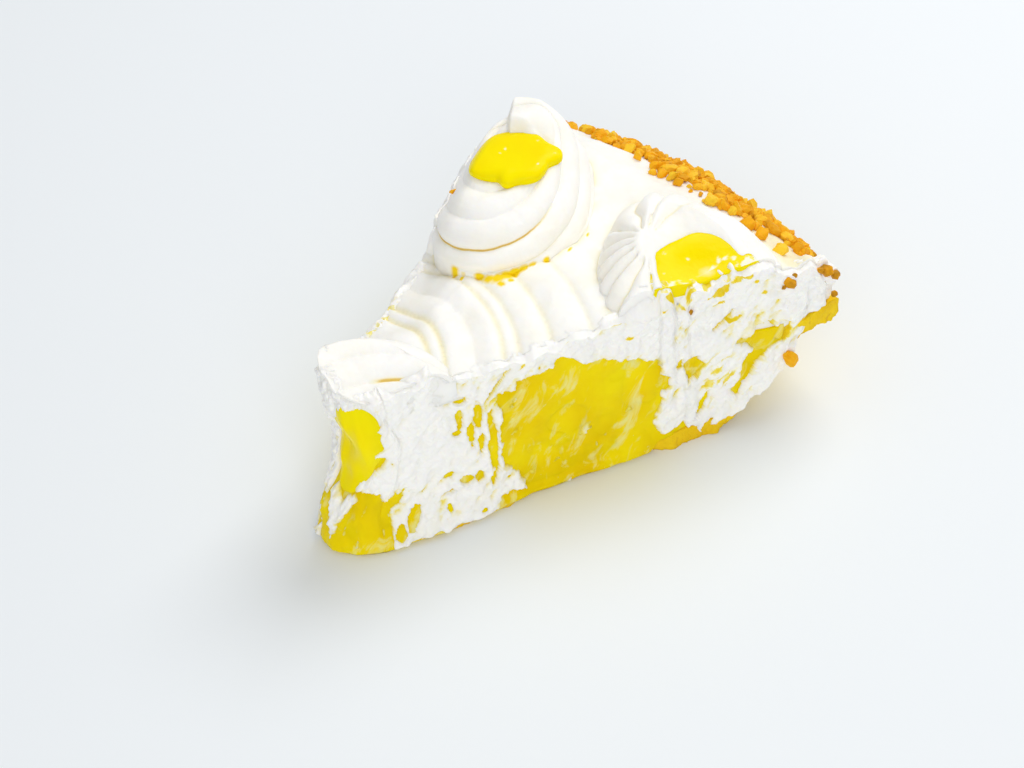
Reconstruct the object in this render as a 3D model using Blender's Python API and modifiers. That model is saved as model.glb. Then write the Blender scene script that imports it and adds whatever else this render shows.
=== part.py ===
"""A slice of lemon cream pie, built as the real one is: a whole pie of turned layers is piped with
rosettes, and one knife cut takes the slice out of all of them.

Lengths are in millimetres here and turned to metres by MM. The pie's axis is at x = -AXIS_TO_ORIGIN,
the slice points to -X, and its flat underside lies on z = 0.
"""

import math
import random

import bmesh
import bpy
import numpy
from mathutils import Matrix, Vector, noise

MM = 0.001
GAP = 0.3                 # clearance between pieces that touch
AXIS_TO_ORIGIN = 70.0     # the origin is under the slice, this far from the pie's axis

HALF_ANGLE = 21.0         # degrees, half of the slice
TURN_STEPS = 104          # facets round the whole pie

BASE_RADIUS = 100.0       # flat underside of the crust
WALL_TOP_RADIUS = 125.5   # its flared wall meets the lip here
LIP_RADIUS = 133.0        # outer edge of the crust's lip
LIP_UNDERSIDE = 21.5
LIP_TOP = 25.2
CRUST = 3.2               # thickness of the pastry

GEL_TOP = 34.5            # lemon filling under the middle of the slice
GEL_EDGE = 24.0           # lemon filling where it meets the lip
CREAM_TOP = 44.0          # crests of the combed rings in the whipped cream
FAR_SAG = 6.0             # the cream has slumped this far along the far cut
CORNER_LIFT = 1.0         # and stands this much higher at the far corner of the rim
BORDER_TOP = 34.5         # top outer edge of the cream, where the crumbs are
BORDER_RADIUS = 131.0
RING_START = 36.0         # combed rings of cream between these radii
RING_END = 81.0
RING_PITCH = 9.0
RING_DEPTH = 2.6

CRUMB_COUNT = 104
CRUMB_SIZE = (1.8, 3.0)   # radius of a crumb of toasted nut
SEED = 7

COLOURS = {
    "pastry": ((0.80, 0.53, 0.16), 0.7),
    "lemon gel": ((0.90, 0.72, 0.01), 0.2),
    "whipped cream": ((0.93, 0.92, 0.86), 0.5),
    "lemon dollop": ((0.98, 0.83, 0.01), 0.15),
}

KNIFE_DRAG = 9.0          # the knife dragged the top of the piping down this far
FLANK = 0.72              # share of a rosette's section that climbs to its crest
ROSETTE_CREASE = 2.1      # depth of the creases between its ridges
ROSETTE_FOOT = 37.0       # the rosettes are bedded this deep in the cream
ROSETTE_EDGE = 42.0       # height at which their flank starts

# Centre and crest of each rosette, the share of its radius inside the crest, how much higher the crest is
# on the side away from the knife, the hollow in its middle, the ridges up its flank, how many of them a trip
# round crosses, how far they fan out on one side, and the radius of its foot in each direction in degrees.
ROSETTES = {
    "rosette_back": dict(
        at=(86.0, 17.0), crest=55.6, inner=0.46, tilt=2.2, hollow=2.5, ridges=3.0, starts=2, fan=0.0,
        reach=[(-170, 24.6), (-155, 25.3), (-136, 23.4), (-102, 19.7), (-52, 18.4), (-30, 19.5),
               (-15, 22.0), (0, 24.5), (20, 24.0), (50, 20.5), (90, 17.0), (131, 16.0), (142, 17.2),
               (160, 19.5), (175, 22.5)]),
    "rosette_right": dict(
        at=(95.0, -31.0), crest=51.3, inner=0.5, tilt=0.6, hollow=3.3, ridges=1.4, starts=8, fan=2.6,
        reach=[(-170, 21.5), (-90, 20.0), (-50, 19.7), (-17, 18.6), (27, 18.7), (40, 21.5), (53, 26.0),
               (67, 29.9), (80, 27.3), (92, 24.6), (113, 22.2), (142, 21.0), (168, 21.8)]),
    "rosette_tip": dict(
        at=(19.0, -7.0), crest=48.6, inner=0.74, tilt=0.0, hollow=5.6, ridges=3.0, starts=1, fan=0.0,
        reach=[(0, 20.0)]),
}
PEAK = 60.2               # the end of the back rosette's rope is drawn up to this height


def clear_scene():
    for thing in list(bpy.data.objects):
        bpy.data.objects.remove(thing, do_unlink=True)


def collection(name):
    made = bpy.data.collections.new(name)
    bpy.context.scene.collection.children.link(made)
    return made


def material(name):
    colour, roughness = COLOURS[name]
    made = bpy.data.materials.get(name)
    if made:
        return made
    made = bpy.data.materials.new(name)
    made.use_nodes = True
    shader = made.node_tree.nodes["Principled BSDF"]
    shader.inputs["Base Color"].default_value = (*colour, 1.0)
    shader.inputs["Roughness"].default_value = roughness
    shader.inputs["Metallic"].default_value = 0.0
    return made


def place(mesh, name, group, finish=None):
    """An object of this mesh, which was drawn in millimetres round the pie's axis."""
    mesh.transform(Matrix.Scale(MM, 4) @ Matrix.Translation((-AXIS_TO_ORIGIN, 0, 0)))
    made = bpy.data.objects.new(name, mesh)
    group.objects.link(made)
    if finish:
        mesh.materials.append(material(finish))
    return made


def hidden(thing):
    """Marks a cutter, which is no part of the pie."""
    thing.hide_render = True
    thing.display_type = "WIRE"
    return thing


def applied(thing):
    """Bakes the object's modifiers into its mesh."""
    graph = bpy.context.evaluated_depsgraph_get()
    baked = bpy.data.meshes.new_from_object(thing.evaluated_get(graph))
    thing.modifiers.clear()
    thing.data = baked
    return thing


def combine(thing, other, operation, solver="EXACT"):
    """One Boolean with an object or a collection, applied."""
    cut = thing.modifiers.new(operation.lower(), "BOOLEAN")
    cut.operation = operation
    cut.solver = solver
    if isinstance(other, bpy.types.Collection):
        cut.operand_type = "COLLECTION"
        cut.collection = other
    else:
        cut.object = other
    return applied(thing)


def smooth_step(t):
    t = min(1.0, max(0.0, t))
    return t * t * (3.0 - 2.0 * t)


def blend(x, pairs):
    """A smooth curve through a few (x, height) pairs."""
    if x <= pairs[0][0]:
        return pairs[0][1]
    for (x0, h0), (x1, h1) in zip(pairs, pairs[1:]):
        if x <= x1:
            return h0 + (h1 - h0) * smooth_step((x - x0) / (x1 - x0))
    return pairs[-1][1]


def steps(low, high, pitch):
    count = max(1, round(abs(high - low) / pitch))
    return [low + (high - low) * i / count for i in range(count + 1)]


# The profiles of the turned layers, as (radius, height) from the pie's axis.

def wall_height(radius):
    """Underside of the crust's flared wall: up from the flat base and out into the lip."""
    return LIP_UNDERSIDE * min(1.0, max(0.0, (radius - BASE_RADIUS) / (WALL_TOP_RADIUS - BASE_RADIUS)) ** 1.5)


def gel_surface(radius):
    return blend(radius, [(62.0, GEL_TOP), (92.0, 27.0), (120.0, GEL_EDGE)])


def ring_ridge(radius):
    """Round crests with sharp creases between them, from 0 in a crease to 1 on a crest."""
    return abs(math.sin(math.pi * (radius - RING_START) / RING_PITCH)) ** 0.6


def cream_surface(radius):
    level = blend(radius, [(34.0, 43.0), (44.0, CREAM_TOP), (76.0, 43.5), (94.0, 41.5), (112.0, 43.5),
                           (120.0, 40.8), (125.0, 37.2), (BORDER_RADIUS, BORDER_TOP - 1.0)])
    if RING_START < radius < RING_END:
        level -= RING_DEPTH * (1.0 - ring_ridge(radius))
    return level


def slump(x, y):
    """How far a soft layer is down along the far cut, and how far up the cream is at the rim's far corner."""
    half = math.radians(HALF_ANGLE)
    inside = x * math.sin(half) - y * math.cos(half)
    along = x * math.cos(half) + y * math.sin(half)
    low = smooth_step(1.0 - inside / 17.0)
    low *= smooth_step((along - 32.0) / 12.0) * smooth_step((86.0 - along) / 12.0)
    high = smooth_step(1.0 - inside / 15.0) * math.exp(-(((along - 121.0) / 7.0) ** 2))
    return FAR_SAG * low, CORNER_LIFT * high


def inner_wall():
    """The crust's inner side, from the floor up to the lip."""
    return [(r - 2.0, max(CRUST, wall_height(r) + CRUST + 0.5)) for r in steps(BASE_RADIUS, 127.0, 3.5)]


def gel_top():
    """The surface between the lemon filling and the cream."""
    return [(r, gel_surface(r)) for r in steps(0.0, 114.0, 6.0)]


def crust_profile():
    under = [(r, wall_height(r)) for r in steps(BASE_RADIUS, LIP_RADIUS - 1.0, 4.0)]
    over = inner_wall()
    lip = [(LIP_RADIUS, (LIP_UNDERSIDE + LIP_TOP) / 2), (LIP_RADIUS - 1.0, LIP_TOP)]
    return [(0.0, 0.0), *under, *lip, *reversed(over), (0.0, CRUST)]


def gel_profile():
    floor = [(r - GAP, z + GAP) for r, z in inner_wall() if z < GEL_EDGE - 1.5]
    return [(0.0, CRUST + GAP), *floor, *reversed(gel_top())]


def cream_profile():
    inner = [(r, z + GAP) for r, z in gel_top()] + [(118.0, GEL_EDGE + GAP)]
    seat = [(123.0, LIP_TOP + 0.8 + GAP), (BORDER_RADIUS - 0.5, LIP_TOP + GAP)]
    side = [(BORDER_RADIUS + 0.5, 28.5), (BORDER_RADIUS + 0.3, BORDER_TOP - 2.5)]
    plain = steps(0.0, RING_START, 9.0)
    rings = steps(RING_START, RING_END, RING_PITCH / 5)[1:]
    outer = steps(RING_END, BORDER_RADIUS - 1.0, 6.0)[1:]
    top = [(r, cream_surface(r)) for r in [*plain, *rings, *outer]]
    return [*inner, *seat, *side, *reversed(top)]


def turned(name, profile, group, finish):
    """A whole round layer: its profile with a Screw modifier."""
    mesh = bpy.data.meshes.new(name)
    shape = bmesh.new()
    points = [shape.verts.new((r, 0.0, z)) for r, z in profile]
    for a, b in zip(points, points[1:]):
        shape.edges.new((a, b))
    shape.to_mesh(mesh)
    shape.free()
    made = place(mesh, name, group, finish)
    made.data.transform(Matrix.Translation((AXIS_TO_ORIGIN * MM, 0, 0)))
    made.location.x = -AXIS_TO_ORIGIN * MM
    screw = made.modifiers.new("turn", "SCREW")
    screw.steps = screw.render_steps = TURN_STEPS
    screw.use_merge_vertices = True
    screw.merge_threshold = 0.00005
    screw.use_normal_calculate = True
    bpy.context.view_layer.update()
    applied(made)
    made.data.transform(Matrix.Translation(made.location))
    made.location.x = 0.0
    outwards(made.data)
    return made


def slumped(layer):
    """Lets a turned layer down by slump(), its top the most and its foot not at all.

    Its quads are split the same way first, so that layers that touch still fit each other."""
    shape = bmesh.new()
    shape.from_mesh(layer.data)
    for face in [face for face in shape.faces if len(face.verts) == 4]:
        corners = list(face.verts)
        around = [(corner.co.x + AXIS_TO_ORIGIN * MM, corner.co.y) for corner in corners]
        first = min(range(4), key=lambda i: (round(math.hypot(*around[i]), 5), math.atan2(*around[i])))
        bmesh.utils.face_split(face, corners[first], corners[(first + 2) % 4])
    for point in shape.verts:
        x, y, z = point.co / MM
        low, high = slump(x + AXIS_TO_ORIGIN, y)
        point.co.z += MM * (high * smooth_step((z - 30.0) / 8.0) - low * smooth_step((z - 14.0) / 20.0))
    shape.to_mesh(layer.data)
    shape.free()
    return layer


def outwards(mesh):
    shape = bmesh.new()
    shape.from_mesh(mesh)
    bmesh.ops.recalc_face_normals(shape, faces=shape.faces)
    if shape.calc_volume(signed=True) < 0.0:
        bmesh.ops.reverse_faces(shape, faces=shape.faces)
    shape.to_mesh(mesh)
    shape.free()


# The knife cut: straight down both sides, round at the squashed tip, and ragged as soft filling is.

def relief(x, y, z):
    """How far the cut face stands proud here, in millimetres."""
    coarse = noise.noise(Vector((x, y, z)) / 17.0)
    fine = noise.noise(Vector((x, y, z + 50.0)) / 6.0)
    return 1.1 * coarse + 0.6 * fine


def foot_flare(distance, z):
    """The base of the slice spreads a little, most at the tip."""
    return (0.8 + 2.2 * math.exp(-((distance - 26.0) / 13.0) ** 2)) * math.exp(-((z / 7.0) ** 2))


def tip_x(z):
    """The tip leans: it spreads at its foot and is set back above it."""
    return blend(z, [(0.0, 12.6), (8.0, 12.8), (22.0, 18.2), (29.0, 19.6), (37.0, 17.2), (46.0, 16.7),
                     (58.0, 22.0)])


SIDE_CELLS = 24           # facets along each cut
LIP_CELLS = 24            # facets along the ragged edge of the lip


def cut_outline(z):
    """The slice's outline at one height, clockwise from the near side's outer end."""
    half = math.radians(HALF_ANGLE)
    tip_radius = 8.6
    centre = tip_x(z) + tip_radius
    first = centre * math.cos(half)
    sides = [first + (LIP_RADIUS - first) * i / SIDE_CELLS for i in range(SIDE_CELLS + 1)]
    near = []
    for distance in reversed(sides):
        x = distance * math.cos(half)
        y = -distance * math.sin(half)
        proud = relief(x, y, z) + foot_flare(distance, z)
        near.append((x - proud * math.sin(half), y - proud * math.cos(half)))
    tip = []
    for turn in steps(-90.0 - HALF_ANGLE, -270.0 + HALF_ANGLE, 23.0)[1:-1]:
        a = math.radians(turn)
        inset = (centre * math.sin(half) - tip_radius) * abs(math.sin(a))
        size = tip_radius + inset + 0.6 * relief(20.0 * math.cos(a), 20.0 * math.sin(a), z)
        tip.append((centre + size * math.cos(a), size * math.sin(a)))
    far = []
    for distance in sides:
        x = distance * math.cos(half)
        y = distance * math.sin(half)
        proud = relief(x, y + 30.0, z) + foot_flare(distance + 12.0, z)
        far.append((x - proud * math.sin(half), y + proud * math.cos(half)))
    lip = []
    for i in range(1, LIP_CELLS):
        a = half - 2.0 * half * i / LIP_CELLS
        ragged = LIP_RADIUS + 0.8 * relief(2.5 * LIP_RADIUS * math.cos(a), 2.5 * LIP_RADIUS * math.sin(a), z)
        lip.append((ragged * math.cos(a), ragged * math.sin(a)))
    return [*near, *tip, *far, *lip]


def knife(group):
    """The closed block that the slice is cut out by: the cut outline lofted from below to above the pie."""
    levels = [-6.0, *steps(0.0, 66.0, 5.0), 76.0]
    shape = bmesh.new()
    rows = [[shape.verts.new((x, y, z)) for x, y in cut_outline(z)] for z in levels]
    for low, high in zip(rows, rows[1:]):
        for i in range(len(low)):
            j = (i + 1) % len(low)
            shape.faces.new((low[i], low[j], high[j], high[i]))
    shape.faces.new(list(reversed(rows[0])))
    shape.faces.new(rows[-1])
    mesh = bpy.data.meshes.new("knife")
    shape.to_mesh(mesh)
    shape.free()
    outwards(mesh)
    return hidden(place(mesh, "knife", group))


def leaning(x, y, z):
    """A point of the piping, dragged down where the knife cut through it."""
    half = math.radians(HALF_ANGLE)
    along = x * math.cos(half) + abs(y) * math.sin(half)
    inside = x * math.sin(half) - abs(y) * math.cos(half)
    middle = 98.0 if y < 0 else 84.0
    drag = smooth_step(1.0 - inside / 15.0) * math.exp(-(((along - middle) / 15.0) ** 2))
    return Vector((x, y, z - KNIFE_DRAG * drag * smooth_step((z - 37.0) / 23.0)))


# Rosettes: a rope of cream piped round a hollow. Its ridges run round it in a slow spiral.

def around(edge, angle, ease):
    """The radius of an outline in a direction, with its corners eased over a few degrees."""
    degrees, radii = zip(*edge)
    turns = [math.degrees(angle) + off for off in (-ease, -ease / 3.0, ease / 3.0, ease)]
    return float(numpy.interp(turns, degrees, radii, period=360.0).mean())


def drawn_up(angle):
    """Where the end of the back rosette's rope stands up. Its left side is steep."""
    off = (angle + math.pi) % math.tau - math.pi
    return smooth_step((off + 0.6) / 0.95) ** 1.5 * smooth_step((0.85 - off) / 0.25)


def rosette_point(spec, foot, share, grow=0.0):
    """Radius and height at a share of the way up the flank, over the crest and down to the middle."""
    crest_radius = foot * spec["inner"]
    if share < FLANK:
        a = math.radians(90.0) * share / FLANK
        radius = crest_radius + (foot - crest_radius) * math.cos(a) ** 1.4
        height = ROSETTE_EDGE + (spec["crest"] - ROSETTE_EDGE) * math.sin(a) ** 1.4
    else:
        into = (share - FLANK) / (1.0 - FLANK)
        radius = crest_radius * (1.0 - into)
        height = spec["crest"] - spec["hollow"] * smooth_step(into)
    return Vector((radius + grow, height + grow))


def swirl_crease(spec, angle, share):
    """Depth of the crease between two ridges, from 0 on a crest to 1."""
    phase = share / FLANK * spec["ridges"] + spec["starts"] * angle / math.tau
    phase += spec["fan"] * math.sin(angle + 2.2) / math.tau
    return 1.0 - abs(math.sin(math.pi * phase)) ** 0.6


def rosette_surface(spec, angle, share, grow=0.0):
    """A point of the rosette's skin, in the pie's own frame."""
    foot = around(spec["reach"], angle, 9.0)
    here = rosette_point(spec, foot, share, grow)
    along = rosette_point(spec, foot, min(1.0, share + 0.02))
    along -= rosette_point(spec, foot, max(0.0, share - 0.02))
    out = Vector((along.y, -along.x)).normalized()
    fade = smooth_step(share / 0.06) * smooth_step((1.0 - share) / 0.2)
    here -= out * ROSETTE_CREASE * swirl_crease(spec, angle, share) * fade
    radius = here.x
    height = here.y + spec["tilt"] * math.cos(angle - 0.8) * smooth_step((here.y - ROSETTE_EDGE) / 14.0)
    if spec is ROSETTES["rosette_back"]:
        lobe = smooth_step((radius - 4.0) / 4.0) * smooth_step((19.5 - radius) / 4.5) * drawn_up(angle)
        height += (PEAK + grow - height) * lobe
    return leaning(spec["at"][0] + radius * math.cos(angle), spec["at"][1] + radius * math.sin(angle), height)


def rosette(name, group, grow=0.0, finish=None):
    """A ball whose rings of points are moved onto the rosette's skin, above a flat foot.

    With grow it is the bed that the rosette needs in the layer of cream."""
    spec = ROSETTES[name]
    segments, rings = 36, 18
    shape = bmesh.new()
    bmesh.ops.create_uvsphere(shape, u_segments=segments, v_segments=rings, radius=1.0)
    for point in shape.verts:
        ring = round(math.acos(max(-1.0, min(1.0, -point.co.z))) / math.pi * rings)
        angle = math.atan2(point.co.y, point.co.x)
        if ring == 0:
            point.co = Vector((*spec["at"], ROSETTE_FOOT - grow))
        elif ring == 1:
            skin = rosette_surface(spec, angle, 0.0, grow)
            point.co = Vector((skin.x, skin.y, ROSETTE_FOOT - grow))
        else:
            point.co = rosette_surface(spec, angle, (ring - 2) / (rings - 2), grow)
    mesh = bpy.data.meshes.new(name)
    shape.to_mesh(mesh)
    shape.free()
    outwards(mesh)
    return place(mesh, name + ("_bed" if grow else ""), group, finish)


def blob(name, group, at, size, edge, grow=0.0, finish=None, turn=0.0):
    """A puddle of lemon gel. Its uneven outline goes through edge, as (degrees, radius)."""
    shape = bmesh.new()
    bmesh.ops.create_icosphere(shape, subdivisions=2, radius=1.0)
    for point in shape.verts:
        angle = math.atan2(point.co.y, point.co.x)
        wide = around(edge, angle, 6.0)
        flat = math.hypot(point.co.x, point.co.y) ** 0.55
        x = flat * math.cos(angle) * (size[0] * wide + grow)
        y = flat * math.sin(angle) * (size[1] * wide + grow)
        z = math.copysign(abs(point.co.z) ** 0.8, point.co.z) * (size[2] + grow)
        point.co = Vector((x, y, z))
    spin = Matrix.Rotation(math.radians(turn), 3, "Z")
    bmesh.ops.rotate(shape, verts=shape.verts, cent=(0, 0, 0), matrix=spin)
    bmesh.ops.translate(shape, verts=shape.verts, vec=at)
    for point in shape.verts:
        point.co = leaning(*point.co)
    mesh = bpy.data.meshes.new(name)
    shape.to_mesh(mesh)
    shape.free()
    made = place(mesh, name, group, finish)
    return made if finish else hidden(made)


DOLLOPS = {
    "dollop_back": dict(
        at=(85.5, 15.0, 55.4), size=(1.0, 1.0, 2.6), turn=0.0,
        edge=[(127, 9.6), (75, 10.0), (21, 9.9), (-9, 9.1), (-30, 11.6), (-46, 11.3), (-52, 8.5), (-88, 8.4),
              (-125, 7.1), (-146, 8.6), (-166, 6.6), (172, 7.6), (151, 9.8)]),
    "dollop_right": dict(
        at=(94.8, -35.0, 47.6), size=(13.5, 8.8, 3.6), turn=-36.7,
        edge=[(0, 1.0), (40, 1.04), (75, 0.97), (110, 1.02), (150, 0.96), (180, 1.05), (-60, 1.0)]),
    "dollop_tip": dict(
        at=(21.0, -7.2, 37.6), size=(6.0, 5.0, 4.5), turn=0.0,
        edge=[(0, 1.0), (60, 1.08), (130, 0.94), (-120, 1.05), (-40, 0.95)]),
}
DRIP = dict(at=(19.6, -5.6, 29.5), size=(5.4, 4.2, 12.0), turn=-21.0,
            edge=[(0, 1.0), (60, 1.06), (130, 0.94), (-120, 1.04), (-40, 0.95)])


# Crumbs of toasted nut along the rim, pressed into the cream.

def crumb_place(rng, share):
    """The middle of one crumb, a share of the way along the rim, on its top edge or its outer side."""
    angle = math.radians((HALF_ANGLE - 0.8) * (2.0 * share - 1.0))
    radius = BORDER_RADIUS + 0.2
    on_top = rng.random() < 0.66
    if on_top:
        radius = rng.triangular(121.0, BORDER_RADIUS - 0.6, 127.5)
    x, y = radius * math.cos(angle), radius * math.sin(angle)
    height = cream_surface(radius) + slump(x, y)[1] + 0.5
    if not on_top:
        height = rng.triangular(30.5, BORDER_TOP - 0.3, 35.0)
    for spec in ROSETTES.values():
        off = Vector((x, y)) - Vector(spec["at"])
        if off.length < around(spec["reach"], math.atan2(off.y, off.x), 9.0) + CRUMB_SIZE[1] * 1.3:
            return crumb_place(rng, share)
    return Vector((x, y, height))


def add_crumbs(cream, group):
    rng = random.Random(SEED)
    crumbs = collection("crumbs")
    for index in range(CRUMB_COUNT):
        middle = crumb_place(rng, (index + rng.random()) / CRUMB_COUNT)
        shape = bmesh.new()
        bmesh.ops.create_icosphere(shape, subdivisions=1, radius=1.0)
        size = rng.uniform(*CRUMB_SIZE)
        squash = [size * rng.uniform(0.75, 1.15) for _ in range(3)]
        bmesh.ops.scale(shape, verts=shape.verts, vec=squash)
        turn = rng.uniform(0, math.tau)
        spin = Matrix.Rotation(turn, 3, Vector((rng.random(), rng.random(), rng.random() + 0.1)))
        bmesh.ops.rotate(shape, verts=shape.verts, cent=(0, 0, 0), matrix=spin)
        bmesh.ops.translate(shape, verts=shape.verts, vec=middle)
        mesh = bpy.data.meshes.new(f"crumb_{index}")
        shape.to_mesh(mesh)
        shape.free()
        place(mesh, f"crumb_{index}", crumbs)
    combine(cream, crumbs, "UNION", "MANIFOLD")
    for thing in list(crumbs.objects):
        bpy.data.objects.remove(thing, do_unlink=True)
    bpy.data.collections.remove(crumbs)


def largest_body(thing):
    """Keeps the largest of the separate bodies that a cut left, and drops the scraps."""
    shape = bmesh.new()
    shape.from_mesh(thing.data)
    bmesh.ops.remove_doubles(shape, verts=shape.verts, dist=0.000002)
    left = set(shape.faces)
    bodies = []
    while left:
        stack = [left.pop()]
        body = set(stack)
        while stack:
            for edge in stack.pop().edges:
                if len(edge.link_faces) == 2:
                    fresh = left.intersection(edge.link_faces)
                    left -= fresh
                    body |= fresh
                    stack.extend(fresh)
        bodies.append(body)
    keep = max(bodies, key=len)
    bmesh.ops.delete(shape, geom=[face for face in shape.faces if face not in keep], context="FACES")
    shape.to_mesh(thing.data)
    shape.free()


def main():
    clear_scene()
    pie = collection("lemon_cream_pie_slice")
    cutters = collection("cutters")
    blade = knife(cutters)

    crust = turned("crust", crust_profile(), pie, "pastry")
    filling = turned("lemon_filling", gel_profile(), pie, "lemon gel")
    cream = turned("whipped_cream", cream_profile(), pie, "whipped cream")
    layers = [crust, slumped(filling), slumped(cream)]

    rosettes = {name: rosette(name, pie, finish="whipped cream") for name in ROSETTES}
    for name in ROSETTES:
        combine(cream, hidden(rosette(name, cutters, grow=GAP)), "DIFFERENCE")

    for name, host in zip(DOLLOPS, ("rosette_back", "rosette_right", "rosette_tip")):
        spec = DOLLOPS[name]
        dollop = blob(name, pie, finish="lemon dollop", **spec)
        bed = [blob(name + "_bed", cutters, grow=GAP, **spec)]
        if name == "dollop_tip":
            drip = blob("drip", cutters, **DRIP)
            combine(dollop, drip, "UNION")
            bed.append(blob("drip_bed", cutters, grow=GAP, **DRIP))
        for cutter in bed:
            combine(rosettes[host], cutter, "DIFFERENCE")
            if name == "dollop_tip":
                combine(cream, cutter, "DIFFERENCE")
                combine(filling, cutter, "DIFFERENCE")
        layers.append(dollop)
    layers.extend(rosettes.values())

    for piece in layers:
        combine(piece, blade, "INTERSECT", "MANIFOLD" if piece is cream else "EXACT")
    add_crumbs(cream, pie)
    for piece in layers:
        largest_body(piece)
        piece.data.shade_smooth()
        piece.data.set_sharp_from_angle(angle=math.radians(40.0))


main()
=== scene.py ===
import math
import random

import bmesh
import bpy
import numpy as np
from mathutils import Matrix, Vector, noise
from mathutils.bvhtree import BVHTree


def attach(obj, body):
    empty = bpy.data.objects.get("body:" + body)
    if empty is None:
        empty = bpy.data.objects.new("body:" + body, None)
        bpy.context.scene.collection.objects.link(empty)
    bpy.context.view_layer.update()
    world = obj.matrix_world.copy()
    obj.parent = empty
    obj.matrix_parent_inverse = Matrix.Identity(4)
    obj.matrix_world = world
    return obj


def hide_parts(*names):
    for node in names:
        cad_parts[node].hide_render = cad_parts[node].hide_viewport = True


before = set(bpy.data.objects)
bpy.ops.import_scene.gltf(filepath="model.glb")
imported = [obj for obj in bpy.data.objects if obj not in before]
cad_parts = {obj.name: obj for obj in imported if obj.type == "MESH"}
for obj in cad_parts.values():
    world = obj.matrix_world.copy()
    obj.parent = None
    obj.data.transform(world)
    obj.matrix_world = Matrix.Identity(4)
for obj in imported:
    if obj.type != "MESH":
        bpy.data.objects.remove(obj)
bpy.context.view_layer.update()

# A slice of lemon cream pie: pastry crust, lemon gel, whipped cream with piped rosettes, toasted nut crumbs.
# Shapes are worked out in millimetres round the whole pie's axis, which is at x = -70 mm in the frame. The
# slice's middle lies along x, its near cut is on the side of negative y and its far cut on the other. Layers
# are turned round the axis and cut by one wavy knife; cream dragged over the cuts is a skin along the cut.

MM = 0.001
AXIS_TO_ORIGIN = 70.0
HALF = math.radians(21.0)      # half of the slice's angle
SIN, COS = math.sin(HALF), math.cos(HALF)
TIP_RADIUS = 8.6               # the blunt tip is rounded by this
REACH = 152.0                  # the knife goes this far out from the axis
WELD = 0.0000002               # points closer than this, in metres, are one


# Small helpers

def step(t):
    """A soft step, from 0 where t is 0 to 1 where it is 1."""
    t = np.clip(t, 0.0, 1.0)
    return t * t * (3.0 - 2.0 * t)


def curve(x, pairs):
    """A smooth curve through (x, value) pairs."""
    xs, ys = zip(*pairs)
    place = np.interp(x, xs, np.arange(len(xs)))
    low = np.minimum(place.astype(int), len(xs) - 2)
    ys = np.asarray(ys)
    return ys[low] + (ys[low + 1] - ys[low]) * step(place - low)


def bumps(x, y, z, size, octaves=1, seed=0.0):
    """Soft random relief, about -1 to 1, with bumps of this size in millimetres."""
    x, y, z = np.broadcast_arrays(x, y, z)
    flat = np.stack([x.ravel(), y.ravel(), z.ravel() + seed * 37.7], 1) / size
    if octaves == 1:
        values = [noise.noise(p) for p in flat.tolist()]
    else:
        values = [noise.fractal(p, 0.8, 2.1, octaves) for p in flat.tolist()]
    return np.array(values).reshape(x.shape)


def drop_selection():
    for thing in bpy.context.selected_objects:
        thing.select_set(False)


def move_points(thing, points):
    """Puts the points of a mesh at these places, in millimetres round the pie's axis."""
    flat = (np.asarray(points) - (AXIS_TO_ORIGIN, 0.0, 0.0)) * MM
    thing.data.vertices.foreach_set("co", flat.astype(np.float32).ravel())
    thing.data.update()


def apply_all(thing):
    """Applies the piece's modifiers."""
    drop_selection()
    thing.select_set(True)
    bpy.context.view_layer.objects.active = thing
    for modifier in list(thing.modifiers):
        bpy.ops.object.modifier_apply(modifier=modifier.name)


def skin(name, around, along, shape, painted=None):
    """A closed skin: a sheet rolled up and moved to shape(turn, share), both from 0 to 1, then welded at its
    seam and at both ends. Where painted names a number, shape gives its values as a fourth thing."""
    drop_selection()
    bpy.ops.mesh.primitive_grid_add(x_subdivisions=around, y_subdivisions=along, size=2.0)
    thing = bpy.context.object
    thing.name = thing.data.name = name
    flat = np.empty(len(thing.data.vertices) * 3, np.float32)
    thing.data.vertices.foreach_get("co", flat)
    sheet = flat.reshape(-1, 3)
    turn = np.round((sheet[:, 0] + 1.0) / 2.0 * around) / around % 1.0
    share = np.round((sheet[:, 1] + 1.0) / 2.0 * along) / along
    made = shape(turn, share)
    move_points(thing, np.stack(made[:3], 1))
    if painted:
        paint(thing, painted, made[3])
    bpy.ops.object.mode_set(mode="EDIT")
    bpy.ops.mesh.select_all(action="SELECT")
    bpy.ops.mesh.remove_doubles(threshold=WELD)
    bpy.ops.mesh.normals_make_consistent(inside=False)
    bpy.ops.object.mode_set(mode="OBJECT")
    return thing


def cut(thing, other):
    """Keeps the part of a piece that lies inside another one."""
    boolean = thing.modifiers.new("cut", "BOOLEAN")
    boolean.operation = "INTERSECT"
    boolean.solver = "MANIFOLD"
    boolean.object = other
    apply_all(thing)


def paint(thing, name, values):
    """A number for each point, for a material to read."""
    layer = thing.data.attributes.new(name, "FLOAT", "POINT")
    layer.data.foreach_set("value", np.asarray(values, np.float32))


# Materials

def rgb(code):
    """An sRGB hex colour as the linear one that shaders use."""
    parts = [int(code[i:i + 2], 16) / 255.0 for i in (1, 3, 5)]
    return (*[p / 12.92 if p <= 0.04045 else ((p + 0.055) / 1.055) ** 2.4 for p in parts], 1.0)


def node(tree, kind, settings=None, **links):
    """Adds a shader node. A link takes a value or another node's output to the socket of that name, or, after
    an i, of that number."""
    made = tree.nodes.new(kind)
    for key, value in (settings or {}).items():
        setattr(made, key, value)
    for key, value in links.items():
        by_number = key[0] == "i" and key[1:].isdigit()
        socket = made.inputs[int(key[1:]) if by_number else key.replace("_", " ")]
        if isinstance(value, bpy.types.NodeSocket):
            tree.links.new(value, socket)
        else:
            socket.default_value = value
    return made


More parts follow.
